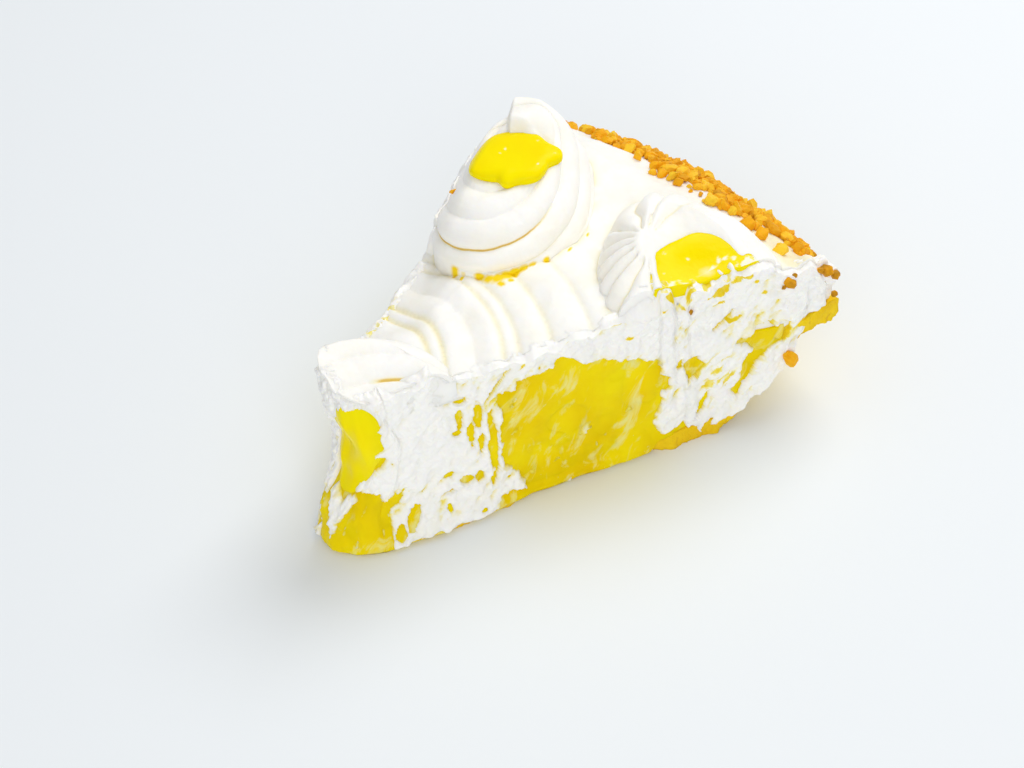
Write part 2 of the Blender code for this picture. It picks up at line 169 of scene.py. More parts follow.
def ramp(tree, factor, *stops):
    """A colour ramp, or a ramp of plain values, through (place, colour or value) stops."""
    made = node(tree, "ShaderNodeValToRGB", i0=factor)
    elements = made.color_ramp.elements
    while len(elements) < len(stops):
        elements.new(0.5)
    for element, (place, colour) in zip(elements, stops):
        element.position = place
        element.color = rgb(colour) if isinstance(colour, str) else (colour, colour, colour, 1.0)
    return made.outputs[0]


def new_material(name, **values):
    """A material with these values in its shader: itself, its nodes, its shader, the place on the object."""
    made = bpy.data.materials.new(name)
    made.use_nodes = True
    shader = made.node_tree.nodes["Principled BSDF"]
    for key, value in values.items():
        shader.inputs[key.replace("_", " ")].default_value = value
    where = node(made.node_tree, "ShaderNodeTexCoord").outputs["Object"]
    return made, made.node_tree, shader, where


def fineness(size):
    """The scale of a noise texture whose patches are about this many millimetres wide."""
    return 1.0 / (size * MM)


def attribute(tree, name):
    return node(tree, "ShaderNodeAttribute", dict(attribute_name=name)).outputs["Fac"]


def noise_of(tree, where, size, detail, **more):
    made = node(tree, "ShaderNodeTexNoise", Vector=where, Scale=fineness(size), Detail=detail, **more)
    return made.outputs["Fac"]


def mixed(tree, factor, first, second):
    """Two colours mixed, the second given as a code."""
    return node(tree, "ShaderNodeMix", dict(data_type="RGBA"), i0=factor, i6=first, i7=rgb(second)).outputs[2]


def surface(tree, shader, colour, height, strength, depth):
    """Joins a colour and a bump, depth millimetres deep, to the shader."""
    tree.links.new(colour, shader.inputs["Base Color"])
    bump = node(tree, "ShaderNodeBump", Height=height, Strength=strength, Distance=depth * MM)
    tree.links.new(bump.outputs[0], shader.inputs["Normal"])


def whipped_cream():
    """Whipped cream, piped and combed: matt with a little gloss from its fat, and full of light. Its creases
    are painted with a warm yellow glow and, in the deepest, a darker yellow painted shade. The same painted
    value holds the peach stain at the rim, and where gel has soaked in it goes below 0. The bubbles, under
    0.1 mm wide, are drawn 1.1 mm wide, as coarse as they need to be to show."""
    made, tree, shader, where = new_material(
        "whipped cream", Roughness=0.5, IOR=1.38, Specular_IOR_Level=0.3, Subsurface_Weight=0.35,
        Subsurface_Radius=(0.004, 0.0034, 0.0026), Subsurface_Scale=0.6)
    crease_shade_and_stain = attribute(tree, "crease_shade_and_stain")
    tint = ramp(tree, noise_of(tree, where, 8.333, 3.0), (0.35, "#fffdf7"), (0.7, "#fbf7ec"))
    # Painted light and shade: a warm yellow glow in the creases, and a darker yellow painted shade in the
    # deepest.
    warm = mixed(tree, ramp(tree, crease_shade_and_stain, (0.0, 0.0), (0.6, 0.5)), tint, "#fae8a0")
    deep = mixed(tree, ramp(tree, crease_shade_and_stain, (0.6, 0.0), (0.95, 0.85)), warm, "#e8c44e")
    soaked = node(tree, "ShaderNodeMapRange", dict(clamp=True), Value=crease_shade_and_stain, From_Min=0.0, From_Max=-0.9)
    stained = mixed(tree, soaked.outputs[0], deep, "#ffd80e")
    surface(tree, shader, stained, noise_of(tree, where, 1.111, 4.0), 0.18, 0.6)
    return made


def lemon_gel(name, bright, dark, veil):
    """Lemon pie filling, a starch gel boiled with egg yolk: wet and smooth, with soft waves 4 mm wide, and
    deep in colour because light goes into it. Cream is dragged through its cut face in pale slanting veils,
    as strong as veil says. Where it lies on the piping it has cream foam on it instead, painted as foam."""
    made, tree, shader, where = new_material(
        name, Roughness=0.2, IOR=1.4, Specular_IOR_Level=0.08, Subsurface_Weight=0.3,
        Subsurface_Radius=(0.006, 0.004, 0.0004), Subsurface_Scale=0.5)
    base = ramp(tree, noise_of(tree, where, 16.667, 4.0), (0.35, dark), (0.65, bright))
    if veil:
        turned = node(tree, "ShaderNodeMapping", dict(vector_type="TEXTURE"), Vector=where,
                      Rotation=(0.0, math.radians(28.0), math.radians(-21.0)), Scale=(0.4, 0.4, 1.0))
        streaks = noise_of(tree, turned.outputs[0], 11.111, 6.0, Roughness=0.6, Distortion=0.9)
        base = mixed(tree, ramp(tree, streaks, (0.54, 0.0), (0.66, veil)), base, "#f4ea98")
    else:
        base = mixed(tree, attribute(tree, "foam"), base, "#fffade")
    surface(tree, shader, base, noise_of(tree, where, 3.846, 3.0), 0.25, 0.8)
    return made


def smeared_cream():
    """Whipped cream dragged over the lemon gel by the knife: torn and matt, with yellow showing through in
    upright streaks 2.4 mm wide where it is thin. Its bubbles are drawn 1.4 mm wide, so that they show."""
    made, tree, shader, where = new_material(
        "cream smeared over lemon gel", Roughness=0.5, IOR=1.38, Specular_IOR_Level=0.3,
        Subsurface_Weight=0.3, Subsurface_Radius=(0.004, 0.0034, 0.0022), Subsurface_Scale=0.5)
    upright = node(tree, "ShaderNodeMapping", Vector=where, Scale=(1.6, 1.6, 0.5))
    drag = noise_of(tree, upright.outputs[0], 2.381, 5.0)
    uneven = node(tree, "ShaderNodeMath", dict(operation="MULTIPLY_ADD"), i0=drag, i1=0.5, i2=-0.25)
    thick = attribute(tree, "thickness")
    total = node(tree, "ShaderNodeMath", dict(operation="ADD"), i0=thick, i1=uneven.outputs[0])
    colour = ramp(tree, total.outputs[0], (0.0, "#f0d012"), (0.14, "#f8e660"), (0.3, "#f9efc2"),
                  (0.55, "#fdfaef"), (1.0, "#fffdf7"))
    surface(tree, shader, colour, noise_of(tree, where, 1.429, 5.0), 0.28, 0.7)
    return made


def pastry():
    """Baked shortcrust pastry, pressed thin and broken at its edge: dry and matt, golden in patches about
    22 mm wide, with browner freckles of 2.4 mm and a sandy face from crumbs of 1.5 mm."""
    made, tree, shader, where = new_material(
        "baked shortcrust pastry", Roughness=0.72, IOR=1.45, Specular_IOR_Level=0.2, Subsurface_Weight=0.1,
        Subsurface_Radius=(0.003, 0.0018, 0.0006))
    patches = ramp(tree, noise_of(tree, where, 22.222, 5.0), (0.3, "#efb80c"), (0.5, "#ffd91a"),
                   (0.7, "#ffea48"))
    freckles = ramp(tree, noise_of(tree, where, 2.381, 5.0), (0.32, 0.6), (0.42, 0.0))
    baked = mixed(tree, freckles, patches, "#dca524")
    surface(tree, shader, baked, noise_of(tree, where, 1.538, 6.0, Roughness=0.65), 0.6, 1.2)
    return made


def toasted_nuts():
    """Toasted chopped nuts: dry chips broken along flat faces, from pale gold to brown, each with its own
    painted shade and spots of 2 mm. Their grain, about 0.2 mm, is drawn 0.7 mm wide, so that it shows."""
    made, tree, shader, where = new_material(
        "toasted chopped nuts", Roughness=0.55, IOR=1.45, Specular_IOR_Level=0.2, Subsurface_Weight=0.15,
        Subsurface_Radius=(0.002, 0.001, 0.0002))
    shade, spots = attribute(tree, "shade"), noise_of(tree, where, 2.0, 3.0)
    toasted = node(tree, "ShaderNodeMath", dict(operation="MULTIPLY_ADD"), i0=spots, i1=0.5, i2=shade)
    colour = ramp(tree, toasted.outputs[0], (0.2, "#a0700e"), (0.42, "#e29e0a"), (0.72, "#f6b00c"),
                  (1.0, "#fbcc30"))
    surface(tree, shader, colour, noise_of(tree, where, 0.714, 3.0), 0.4, 0.4)
    return made


# The knife's cut

def relief(x, y, z):
    """The waves that the knife left in the cut, as how far it stands proud here."""
    coarse = bumps(x, y, z, 17.0)
    fine = bumps(x, y, z + 50.0, 6.0)
    return 1.1 * coarse + 0.6 * fine


def foot_flare(distance, z):
    """How far the gel sags outwards at the foot of the cut, most of all beside the tip."""
    return (0.8 + 2.2 * np.exp(-(((distance - 26.0) / 13.0) ** 2))) * np.exp(-((z / 7.0) ** 2))


def tip_x(z):
    """The tip spreads at its foot and is pinched in under the cream."""
    return curve(z, [(0.0, 12.6), (8.0, 12.8), (22.0, 18.2), (29.0, 19.6), (37.0, 17.2), (46.0, 16.7),
                     (58.0, 22.0)])


def cut_wall(u, z, proud=0.0):
    """A point on the cut. u is the distance from the axis, negative on the near side, and goes round the tip
    to the far side. proud moves the point out of the slice."""
    centre = tip_x(z) + TIP_RADIUS
    first = centre * COS
    side = np.sign(u)
    distance = np.maximum(np.abs(u), first)
    x, y = distance * COS, side * distance * SIN
    out = relief(x, np.where(side < 0, y, y + 30.0), z)
    # The gel bulges low on the tip and where it comes out under the rosette.
    belly = 1.7 * np.exp(-(((u - 9.0) / 6.0) ** 2) - ((z - 9.0) / 8.0) ** 2)
    belly = belly + 2.6 * np.exp(-(((u + 12.0) / 7.0) ** 2) - ((z - 30.0) / 6.5) ** 2)
    out = out + foot_flare(np.where(side < 0, distance, distance + 12.0), z) + proud + belly
    x, y = x - out * SIN, y + side * out * COS
    # Round the tip the flat cuts go over into a round wall.
    turn = math.pi - np.clip(u / first, -1.0, 1.0) * (math.pi / 2.0 - HALF)
    inset = (centre * SIN - TIP_RADIUS) * np.abs(np.sin(turn))
    size = TIP_RADIUS + inset + 0.6 * relief(20.0 * np.cos(turn), 20.0 * np.sin(turn), z) + proud
    size = size + foot_flare(26.0, z) * 0.65 + belly
    join = step((np.abs(u) / first - 0.6) / 0.4)
    x = x * join + (centre + size * np.cos(turn)) * (1.0 - join)
    y = y * join + size * np.sin(turn) * (1.0 - join)
    return x, y


# How far the crust stands out of the cut, as (distance from the axis, that): it is set back where gel has run
# over it, and juts out where a scrap of it is torn.
CRUST_BREAK = [(18.0, -1.6), (23.0, 0.1), (50.0, 0.1), (55.0, -1.6), (84.0, -1.6), (90.0, 0.7), (100.0, 0.6),
               (106.0, 0.2), (121.0, 0.2), (125.0, 1.0), (133.0, 0.6)]


def level_of(share, levels):
    """From 0 to 1 over the rows of a skin between its two ends, which close it."""
    return (np.clip(np.round(share * levels), 1, levels - 1) - 1) / (levels - 2)


def knife(name, proud=0.0, crust=False):
    """The closed block inside the cut, from below the pie to above it, to cut the layers with."""
    levels, bottom, height = 120, -6.0, 84.0

    def shape(turn, share):
        z = bottom + height * level_of(share, levels)
        u = np.interp(turn, (0.0, 0.42, 0.52, 0.86), (-REACH, -22.0, 22.0, REACH))
        out = proud
        if crust:
            out = curve(np.abs(u), CRUST_BREAK)
            out = out + 0.8 * bumps(u, z * 0.7, 0.0, 3.5, 4, 6.0) + 0.3 * bumps(u, z, 3.0, 1.2, 2, 6.0)
        x, y = cut_wall(u, z, out)
        end = np.clip((turn - 0.86) / 0.14, 0.0, 1.0)
        y = np.where(turn > 0.86, y * (1.0 - 2.0 * end), y)
        pole = (share == 0.0) | (share == 1.0)
        return np.where(pole, 80.0, x), np.where(pole, 0.0, y), z
    return skin(name, 700, levels, shape)


# Turned layers

def outline(points, pitch, rounding=0):
    """A closed outline through (radius, height) points, evenly spaced, with eased corners."""
    loop = np.array([*points, points[0]], float)
    far = np.r_[0.0, np.cumsum(np.hypot(*np.diff(loop, axis=0).T))]
    count = int(far[-1] / pitch)
    at = np.arange(count) / count * far[-1]
    ring = np.stack([np.interp(at, far, loop[:, k]) for k in (0, 1)], 1)
    for _ in range(rounding):
        ring = (np.roll(ring, 1, 0) + 2.0 * ring + np.roll(ring, -1, 0)) / 4.0
    return ring


def turned(name, ring, steps, relief_of, painted=None):
    """A layer turned round the pie's axis, a little more than the slice's angle. relief_of moves each radius
    and height, and may give a number to paint as a third thing."""
    spread = math.radians(25.0)

    def shape(turn, share):
        radius, z = ring[np.round(turn * len(ring)).astype(int) % len(ring)].T
        angle = spread * (2.0 * level_of(share, steps) - 1.0)
        radius, z, *value = relief_of(radius, angle, z)
        pole = (share == 0.0) | (share == 1.0)
        radius = np.where(pole, ring[:, 0].mean(), radius)
        z = np.where(pole, ring[:, 1].mean(), z)
        return radius * np.cos(angle), radius * np.sin(angle), z, *value
    return skin(name, len(ring), steps, shape, painted)


def wall_height(radius):
    """The height of the crust's outer side, which flares out to the lip."""
    return 21.5 * np.clip((radius - 100.0) / 25.5, 0.0, 1.0) ** 1.5


def gel_surface(radius):
    """The height of the filling's top, mounded in the middle of the pie."""
    return curve(radius, [(50.0, 34.0), (64.0, 38.0), (76.0, 32.5), (92.0, 27.0), (120.0, 24.0)])


def slump(x, y):
    """How far the top is down along the far cut, and how far the cream is up at the corners of the rim."""
    inside, along = x * SIN - y * COS, x * COS + y * SIN
    low = step(1.0 - inside / 17.0) * step((along - 32.0) / 12.0) * step((86.0 - along) / 12.0)
    high = step(1.0 - inside / 15.0) * np.exp(-(((along - 121.0) / 7.0) ** 2))
    inside, along = x * SIN + y * COS, x * COS - y * SIN
    corner = step(1.0 - inside / 8.0) * step((along - 121.0) / 5.0)
    return 6.0 * low, high + 4.2 * corner


def crust_relief(radius, angle, z):
    """The crust's sandy relief, its ragged and swollen lip, and the lip turned up at the near corner."""
    x, y = radius * np.cos(angle), radius * np.sin(angle)
    edge = step((radius - 122.0) / 8.0)
    rough = bumps(x, y, z, 5.0, 4) * 0.5 + bumps(x, y, z, 1.6, 2, 3.0) * 0.2
    ragged = bumps(x, y, z * 0.3, 8.0, 3, 5.0) * 1.3
    flank = step((radius - 98.0) / 4.0)
    swell = 0.5 * edge * np.sign(z - 23.3) * (1.0 + bumps(x, y, 0.0, 7.0, 2, 7.0))
    corner = 1.5 * edge * step((z - 23.2) / 0.8) * step((-16.5 - np.degrees(angle)) / 3.0)
    return radius + rough * flank + ragged * edge, z + rough * edge * 0.9 + swell + corner


def make_crust():
    radii = np.linspace(100.0, 132.0, 14)
    under = [(r, wall_height(r)) for r in radii]
    inner = [(r - 2.0, max(3.2, wall_height(r) + 3.7)) for r in np.linspace(127.0, 100.0, 12)]
    lip = [(133.0, 22.4), (132.8, 24.3), (131.5, 25.2)]
    ring = outline([(6.0, 0.0), *under, *lip, *inner, (6.0, 3.2)], 0.8, 1)
    return turned("pastry_crust", ring, 150, crust_relief)


def gel_relief(radius, angle, z):
    """The filling goes down with the top along the far cut."""
    low, _ = slump(radius * np.cos(angle), radius * np.sin(angle))
    return radius, z - low * step((z - 14.0) / 20.0)


def make_filling():
    inner = [(r - 2.3, max(3.5, wall_height(r) + 4.0)) for r in np.linspace(100.0, 121.0, 10)]
    top = [(r, gel_surface(r)) for r in np.linspace(114.0, 6.0, 40)]
    ring = outline([(6.0, 3.5), *[p for p in inner if p[1] < 23.0], *top], 1.2)
    return turned("lemon_filling_body", ring, 60, gel_relief)


# The creases that the comb left in the cream, as (distance from the axis, how strong).
CREASES = [(32.0, 0.8), (41.7, 1.0), (45.3, 1.0), (52.5, 0.3), (58.9, 0.9), (62.3, 0.8), (69.5, 0.8),
           (79.0, 0.7), (88.0, 0.3), (99.0, 0.2)]


def comb(radius, angle):
    """The ridges between the creases: their height, and how much painted shade the creases have."""
    here = radius - 0.33 * np.degrees(angle) + 0.7 * bumps(radius, angle * 60.0, 0.0, 22.0, 1, 2.0)
    places, depths = np.array(CREASES).T
    low = np.clip(np.searchsorted(places, here) - 1, 0, len(places) - 2)
    width = places[low + 1] - places[low]
    t = np.clip((here - places[low]) / width, 0.0, 1.0)
    strength = depths[low] + (depths[low + 1] - depths[low]) * t
    dome = np.sin(math.pi * t) ** 0.6 * np.minimum(2.0, width * 0.24) * strength
    near = np.minimum(t, 1.0 - t) * width
    # The second value is the painted shade in the creases, strongest in the strongest ones.
    return dome, 0.6 * step((1.3 - near) / 1.2) * strength ** 3


def cream_level(radius):
    """The height of the cream's top, which rises to a border before it goes down to the rim."""
    return curve(radius, [(6.0, 42.0), (34.0, 41.0), (94.0, 41.0), (112.0, 43.0), (120.0, 40.5),
                          (125.0, 37.0), (131.0, 33.0)])


# Bits of gel pressed out on the top, most of them at the foot of the back rosette: x, y, half length, half
# width and direction in degrees.
GEL_BITS = [
    (62.0, 10.9, 1.0, 0.4, -80), (61.8, 8.4, 0.7, 0.4, 0), (64.3, 4.9, 1.3, 0.5, -60),
    (65.0, 2.9, 1.7, 1.1, -60), (66.2, 1.3, 1.9, 1.5, -30), (68.1, 0.7, 1.9, 1.3, -10),
    (70.3, 0.1, 1.7, 1.0, -12), (72.3, -0.6, 1.4, 0.7, -12), (65.2, -0.6, 0.9, 0.5, -70),
    (67.6, -1.4, 0.7, 0.4, 0), (74.3, -1.3, 0.9, 0.3, -10), (77.7, -2.3, 0.8, 0.2, 0),
    (84.3, -3.2, 1.1, 0.1, 15), (90.9, -2.3, 0.7, 0.1, 30),
]


def gel_stains(x, y):
    """Where the bits of gel have soaked into the cream, from 0 to 1."""
    best = np.full(x.shape, -5.0)
    for at_x, at_y, length, width, degrees in GEL_BITS:
        c, s = math.cos(math.radians(degrees)), math.sin(math.radians(degrees))
        dx, dy = x - at_x, y - at_y
        away = np.hypot((dx * c + dy * s) / (length + 0.4), (dy * c - dx * s) / (width + 0.4))
        best = np.maximum(best, 1.0 - away)
    return step((best + 0.15 + 0.2 * bumps(x, y, 0.0, 1.8, 3, 12.0)) / 0.8)


def cream_relief(radius, angle, z):
    """The cream's relief, and its painted value from 0 to 1: painted shade in the comb's creases and round
    the feet of the rosettes, and a peach stain at the rim; gel that has soaked in takes it below 0.
    """
    x, y = radius * np.cos(angle), radius * np.sin(angle)
    top = step((z - 33.0) / 4.0) * (radius < 130.5)
    dome, crease_shade_and_stain = comb(radius, angle)
    low, high = slump(x, y)
    wave = bumps(x, y, 0.0, 14.0, 3) * 0.5 + bumps(x, y, z, 4.0, 3, 4.0) * (0.18 + 0.25 * high)
    lift = dome * step((radius - 26.0) / 8.0) + high - low + wave
    side = step((radius - 128.5) / 1.5)
    bulge = (bumps(x, y, z, 9.0, 3, 1.0) * 0.7) * side
    peach = 0.6 * step((radius - 119.0) / 1.5) * step((129.8 - radius) / 1.5)
    peach = peach * step((-10.5 - np.degrees(angle)) / 2.0)
    # yellow holds the painted crease shade, the peach stain, and the painted shade at the rosettes' feet.
    yellow = np.maximum(crease_shade_and_stain * step((radius - 30.0) / 6.0), peach)
    # A painted warm shade in a patchy ring round the feet of the back and right rosettes.
    for name, amount in (("rosette_back", 0.62), ("rosette_right", 0.55)):
        spec = ROSETTES[name]
        dx, dy = x - spec["at"][0], y - spec["at"][1]
        off = np.abs(np.hypot(dx, dy) - reach(spec, np.arctan2(dy, dx)))
        patchy = step((bumps(x, y, 0.0, 6.0, 2, 9.0) + 0.45) / 0.5)
        yellow = np.maximum(yellow, amount * patchy * np.exp(-off / 0.9))
    stain = gel_stains(x, y)
    yellow = yellow * (1.0 - stain) - stain
    return radius + bulge, z + lift * top, yellow * top


def make_cream():
    top = [(r, float(cream_level(r))) for r in np.linspace(6.0, 129.5, 70)]
    side = [(131.2, 32.0), (131.6, 30.0), (131.2, 28.0), (130.2, 25.6), (124.0, 26.0), (118.0, 23.8)]
    under = [(r, float(gel_surface(r)) - 0.8) for r in np.linspace(112.0, 6.0, 12)]
    ring = outline([*top, *side, *under], 0.55)
    return turned("whipped_cream_layer", ring, 190, cream_relief, "crease_shade_and_stain")


# Rosettes

# Each rosette has a middle, at, and a foot with the radius that reach gives in directions in degrees. Its
# crest is a ring at inner of that radius, widened by open and raised by rise in the direction to, in radians.
# Inside it a bowl goes down to floor. Its rope winds up the flank in so many ridges, from a number of starts,
# or lies in arcs round a hub, pitch apart. depth and creases say how deep its grooves are and how strong the
# painted shade in them is, shift where.
ROSETTES = {
    "rosette_back": dict(
        at=(86.0, 17.0), crest=56.0, rise=1.7, to=0.56, open=0.3, inner=0.46, steep=1.25, floor=54.0,
        bowl=(0.8, 1.5), ridges=3.3, starts=-4, shift=0.246, depth=2.0, creases=(0.55, 0.5, 0.7, 1.0),
        reach=[(-170, 24.6), (-155, 25.3), (-136, 23.4), (-102, 19.7), (-52, 18.4), (-30, 19.5), (-15, 22.0),
               (0, 24.5), (20, 24.0), (50, 20.5), (90, 17.0), (131, 16.0), (142, 17.2), (160, 19.5),
               (175, 22.5)]),
    "rosette_right": dict(
        at=(95.0, -31.0), crest=51.3, rise=0.6, to=1.2, open=0.08, inner=0.5, steep=1.25, floor=47.8,
        bowl=(1.0, 1.0), ridges=2.2, starts=-2, shift=0.3, depth=1.5, creases=(0.6, 0.9, 0.5, 0.8),
        reach=[(-170, 21.5), (-90, 20.0), (-50, 19.7), (-17, 18.6), (27, 18.7), (40, 21.5), (53, 26.0),
               (67, 29.9), (80, 27.3), (92, 24.6), (113, 22.2), (142, 21.0), (168, 21.8)]),
    "rosette_tip": dict(
        at=(19.0, -7.0), crest=46.8, rise=1.8, to=2.1, open=0.0, inner=0.74, steep=1.5, floor=42.6,
        bowl=(1.0, 1.3), hub=(16.0, -17.0), pitch=6.5, shift=-0.277, depth=1.6, creases=(0.7, 0.7, 1.0, 0.7),
        reach=[(0, 20.0)]),
}
FLANK = 0.72                   # the share of a rosette's skin below its crest
EDGE = 42.0                    # the height of a rosette's foot
PEAK = 61.4                    # the end of the back rosette's rope is drawn up to here
FAN_HUB = (90.0, -22.5)        # the ridges at the left of the right rosette spread from here
TIP_SLIT = (26.8, -6.8)        # the crease between two ropes of the tip rosette gapes here


def reach(spec, angle):
    """How far the foot of a rosette goes out in a direction, with the corners of its outline eased."""
    degrees, radii = zip(*spec["reach"])
    return sum(np.interp(np.degrees(angle) + off, degrees, radii, period=360.0)
               for off in (-9.0, -3.0, 3.0, 9.0)) / 4.0


def leaning(x, y, z):
    """The height after the knife dragged the piping down where it cut through it."""
    along, inside = x * COS + np.abs(y) * SIN, x * SIN - np.abs(y) * COS
    off = along - np.where(y < 0.0, 100.0, 84.0)
    wide = np.where(y < 0.0, np.where(off < 0.0, 17.0, 24.0), 15.0)
    drag = step(1.0 - inside / np.where(y < 0.0, 15.0, 10.0)) * np.exp(-((off / wide) ** 2))
    return z - 9.0 * drag * step((z - 37.0) / 23.0)


def rosette_section(spec, share, angle):
    """Radius and height of a rosette without its grooves, from the foot over the crest to the middle."""
    lean = np.cos(angle - spec["to"])
    foot = reach(spec, angle)
    ring = foot * spec["inner"] * (1.0 + spec["open"] * lean)
    top = spec["crest"] + spec["rise"] * lean
    a = math.pi / 2.0 * np.minimum(share / FLANK, 0.9999)
    into = np.clip((share - FLANK) / (1.0 - FLANK), 0.0, 1.0)
    radius = np.where(share < FLANK, ring + (foot - ring) * np.cos(a) ** spec["steep"], ring * (1.0 - into))
    wide, power = spec["bowl"]
    height = np.where(share < FLANK, EDGE + (top - EDGE) * np.sin(a) ** spec["steep"],
                      top + (spec["floor"] - top) * np.clip(into / wide, 0.0, 1.0) ** power)
    return radius, height


def swirl(spec, angle, share, x, y):
    """Grooves of the piped rope, from 0 on a ridge to 1 in a groove, and the painted shade in the deepest
    ones.
    """
    if "hub" in spec:
        phase = np.hypot(x - spec["hub"][0], y - spec["hub"][1]) / spec["pitch"]
    else:
        phase = share / FLANK * spec["ridges"] + spec["starts"] * angle / math.tau
    phase = phase + spec["shift"] + 0.12 * bumps(x, y, 0.0, 16.0, 1, 8.0)
    strength = np.array(spec["creases"])[np.round(phase).astype(int) % 4]
    wave = np.sin(math.pi * phase) ** 2
    # The painted shade shows only where the tip rosette's slit gapes, and on the others only on their side
    # toward the tip and the near cut.
    if "hub" in spec:
        shown, thin = step(1.5 - np.hypot(x - TIP_SLIT[0], y - TIP_SLIT[1]) / 3.6), 0.36
    else:
        shown, thin = step((np.cos(angle + 2.85) - 0.15) / 0.7), 0.2
    line = shown * step((thin - np.sqrt(wave)) / (thin * 0.7)) * step((strength - 0.55) / 0.4)
    return (1.02 - (wave + 0.003) ** 0.25) * strength, line


def fan(x, y):
    """Grooves of the ridges that fan out from the end of the right rosette, the painted shade in their folds,
    and their place.
    """
    dx, dy = x - FAN_HUB[0], y - FAN_HUB[1]
    angle, far = np.arctan2(dy, dx) % math.tau, np.hypot(dx, dy)
    off = np.abs(np.angle(np.exp(1j * (angle - 2.2))))
    where = step((2.3 - off) / 0.5) * step((far - 2.5) / 3.0)
    uneven = 0.5 * bumps(angle * 9.0, 0.0, 0.0, 7.0, 1, 3.0) + 0.2 * bumps(x, y, 0.0, 6.0)
    phase = (angle + 0.015 * far) / 0.4 + uneven
    wave = np.sin(math.pi * phase) ** 2
    # The second value is a painted shade line in each fold between the ridges.
    return (1.02 - (wave + 0.003) ** 0.3) * where, 0.5 * step((0.16 - np.sqrt(wave)) / 0.12), where


def drawn_up(angle):
    """The end of the back rosette's rope, drawn up to a peak with a steep side to the left."""
    off = np.angle(np.exp(1j * angle))
    return step((off + 0.6) / 0.95) ** 1.5 * step((0.8 - off) / 0.14)


def make_rosette(name):
    spec = ROSETTES[name]
    around, rings, tilted = 320, 180, 0.02     # its slope is taken over this share of the skin, both ways

    def shape(turn, share):
        angle = turn * math.tau
        up = np.clip((share * rings - 2.0) / (rings - 2.0), 0.0, 1.0)
        radius, height = rosette_section(spec, up, angle)
        before, lower = rosette_section(spec, np.maximum(up - tilted, 0.0), angle)
        after, upper = rosette_section(spec, np.minimum(up + tilted, 1.0), angle)
        rise, run = upper - lower, after - before
        size = np.hypot(rise, run) + 1e-9
        if name == "rosette_back":
            lobe = step((radius - 5.0) / 4.0) * step((20.5 - radius) / 4.5) * drawn_up(angle)
            height = height + (PEAK - height) * lobe
        x0, y0 = spec["at"][0] + radius * np.cos(angle), spec["at"][1] + radius * np.sin(angle)
        # line is the painted shade in the grooves, with the fan's painted fold shade on the right rosette;
        # gel soaked in at the foot takes it below 0.
        deep, line = swirl(spec, angle, up, x0, y0)
        if name == "rosette_right":
            petals, fold_shade, where = fan(x0, y0)
            deep = deep * (1.0 - where) + 1.3 * petals * where
            line = line * (1.0 - where) + fold_shade * where
        inside = step(up / 0.05) * step((1.0 - up) / (0.05 if "hub" in spec else 0.2))
        deep, line = deep * inside, line * inside
        radius = radius - rise / size * spec["depth"] * deep
        height = height + run / size * spec["depth"] * deep
        x, y = spec["at"][0] + radius * np.cos(angle), spec["at"][1] + radius * np.sin(angle)
        height = height + bumps(x, y, height, 5.0, 3) * 0.2 * step(up / 0.05)
        foot = share * rings < 1.5
        height = np.where(foot, 36.0, leaning(x, y, height))
        pole = share == 0.0
        stain = gel_stains(x, y) * step(43.2 - height)
        line = line * (1.0 - stain) - stain
        return np.where(pole, spec["at"][0], x), np.where(pole, spec["at"][1], y), height, line
    return skin(name + "_piped", around, rings, shape, "crease_shade_and_stain")


# Lemon gel on top

# Puddles of gel: the middle, half sizes, turn in degrees, how blunt the side is, the slope it lies on, rising
# away from the tip, and its outline as (degrees, radius), the radius times the half sizes.
DOLLOPS = {
    "dollop_back": dict(
        at=(85.5, 15.0, 55.7), size=(1.0, 1.0, 1.9), turn=0.0, blunt=0.45, tilt=0.1,
        edge=[(127, 9.6), (75, 10.0), (21, 9.9), (-9, 9.1), (-30, 11.6), (-46, 11.3), (-52, 8.3), (-88, 7.9),
              (-125, 6.3), (-146, 7.4), (-166, 5.6), (172, 7.2), (151, 9.8)]),
    "dollop_right": dict(
        at=(94.8, -34.6, 48.1), size=(14.4, 9.8, 3.4), turn=-36.7, blunt=0.5, tilt=0.0,
        edge=[(-3, 0.82), (18, 0.82), (38, 0.86), (55, 0.97), (76, 1.04), (93, 1.03), (113, 0.93),
              (149, 0.95), (171, 0.9), (-151, 1.02), (-115, 0.95), (-70, 1.0), (-45, 0.95), (-28, 0.89)]),
}


def make_dollop(name, at, size, turn, blunt, tilt, edge):
    """A puddle of gel with a rounded edge, and cream foam on it where the knife went through."""
    def shape(round_trip, share):
        angle = round_trip * math.tau
        a = math.pi * (share - 0.5)
        out = np.maximum(np.cos(a), 0.0) ** blunt
        degrees, radii = zip(*edge)
        near = [np.interp(np.degrees(angle) + off, degrees, radii, period=360.0) for off in (-5.0, 0.0, 5.0)]
        far = sum(near) / 3.0
        x, y = out * np.cos(angle) * far * size[0], out * np.sin(angle) * far * size[1]
        z = at[2] + np.sign(a) * np.abs(np.sin(a)) ** 0.75 * size[2]
        c, s = math.cos(math.radians(turn)), math.sin(math.radians(turn))
        z = z + tilt * (0.85 * x + 0.53 * y)
        x, y = at[0] + x * c - y * s, at[1] + x * s + y * c
        rough = bumps(x, y, z, 9.0, 2, 5.0) * 0.45 * np.cos(a)
        inside = x * SIN - np.abs(y) * COS
        streaks = bumps(x, y * 1.6, z, 3.4, 4, 14.0) + 0.8 * step(1.0 - inside / 5.5)
        return x + rough, y - rough, leaning(x, y, z + rough), step((streaks - 0.72) / 0.3)
    return skin(name, 200, 120, shape, "foam")


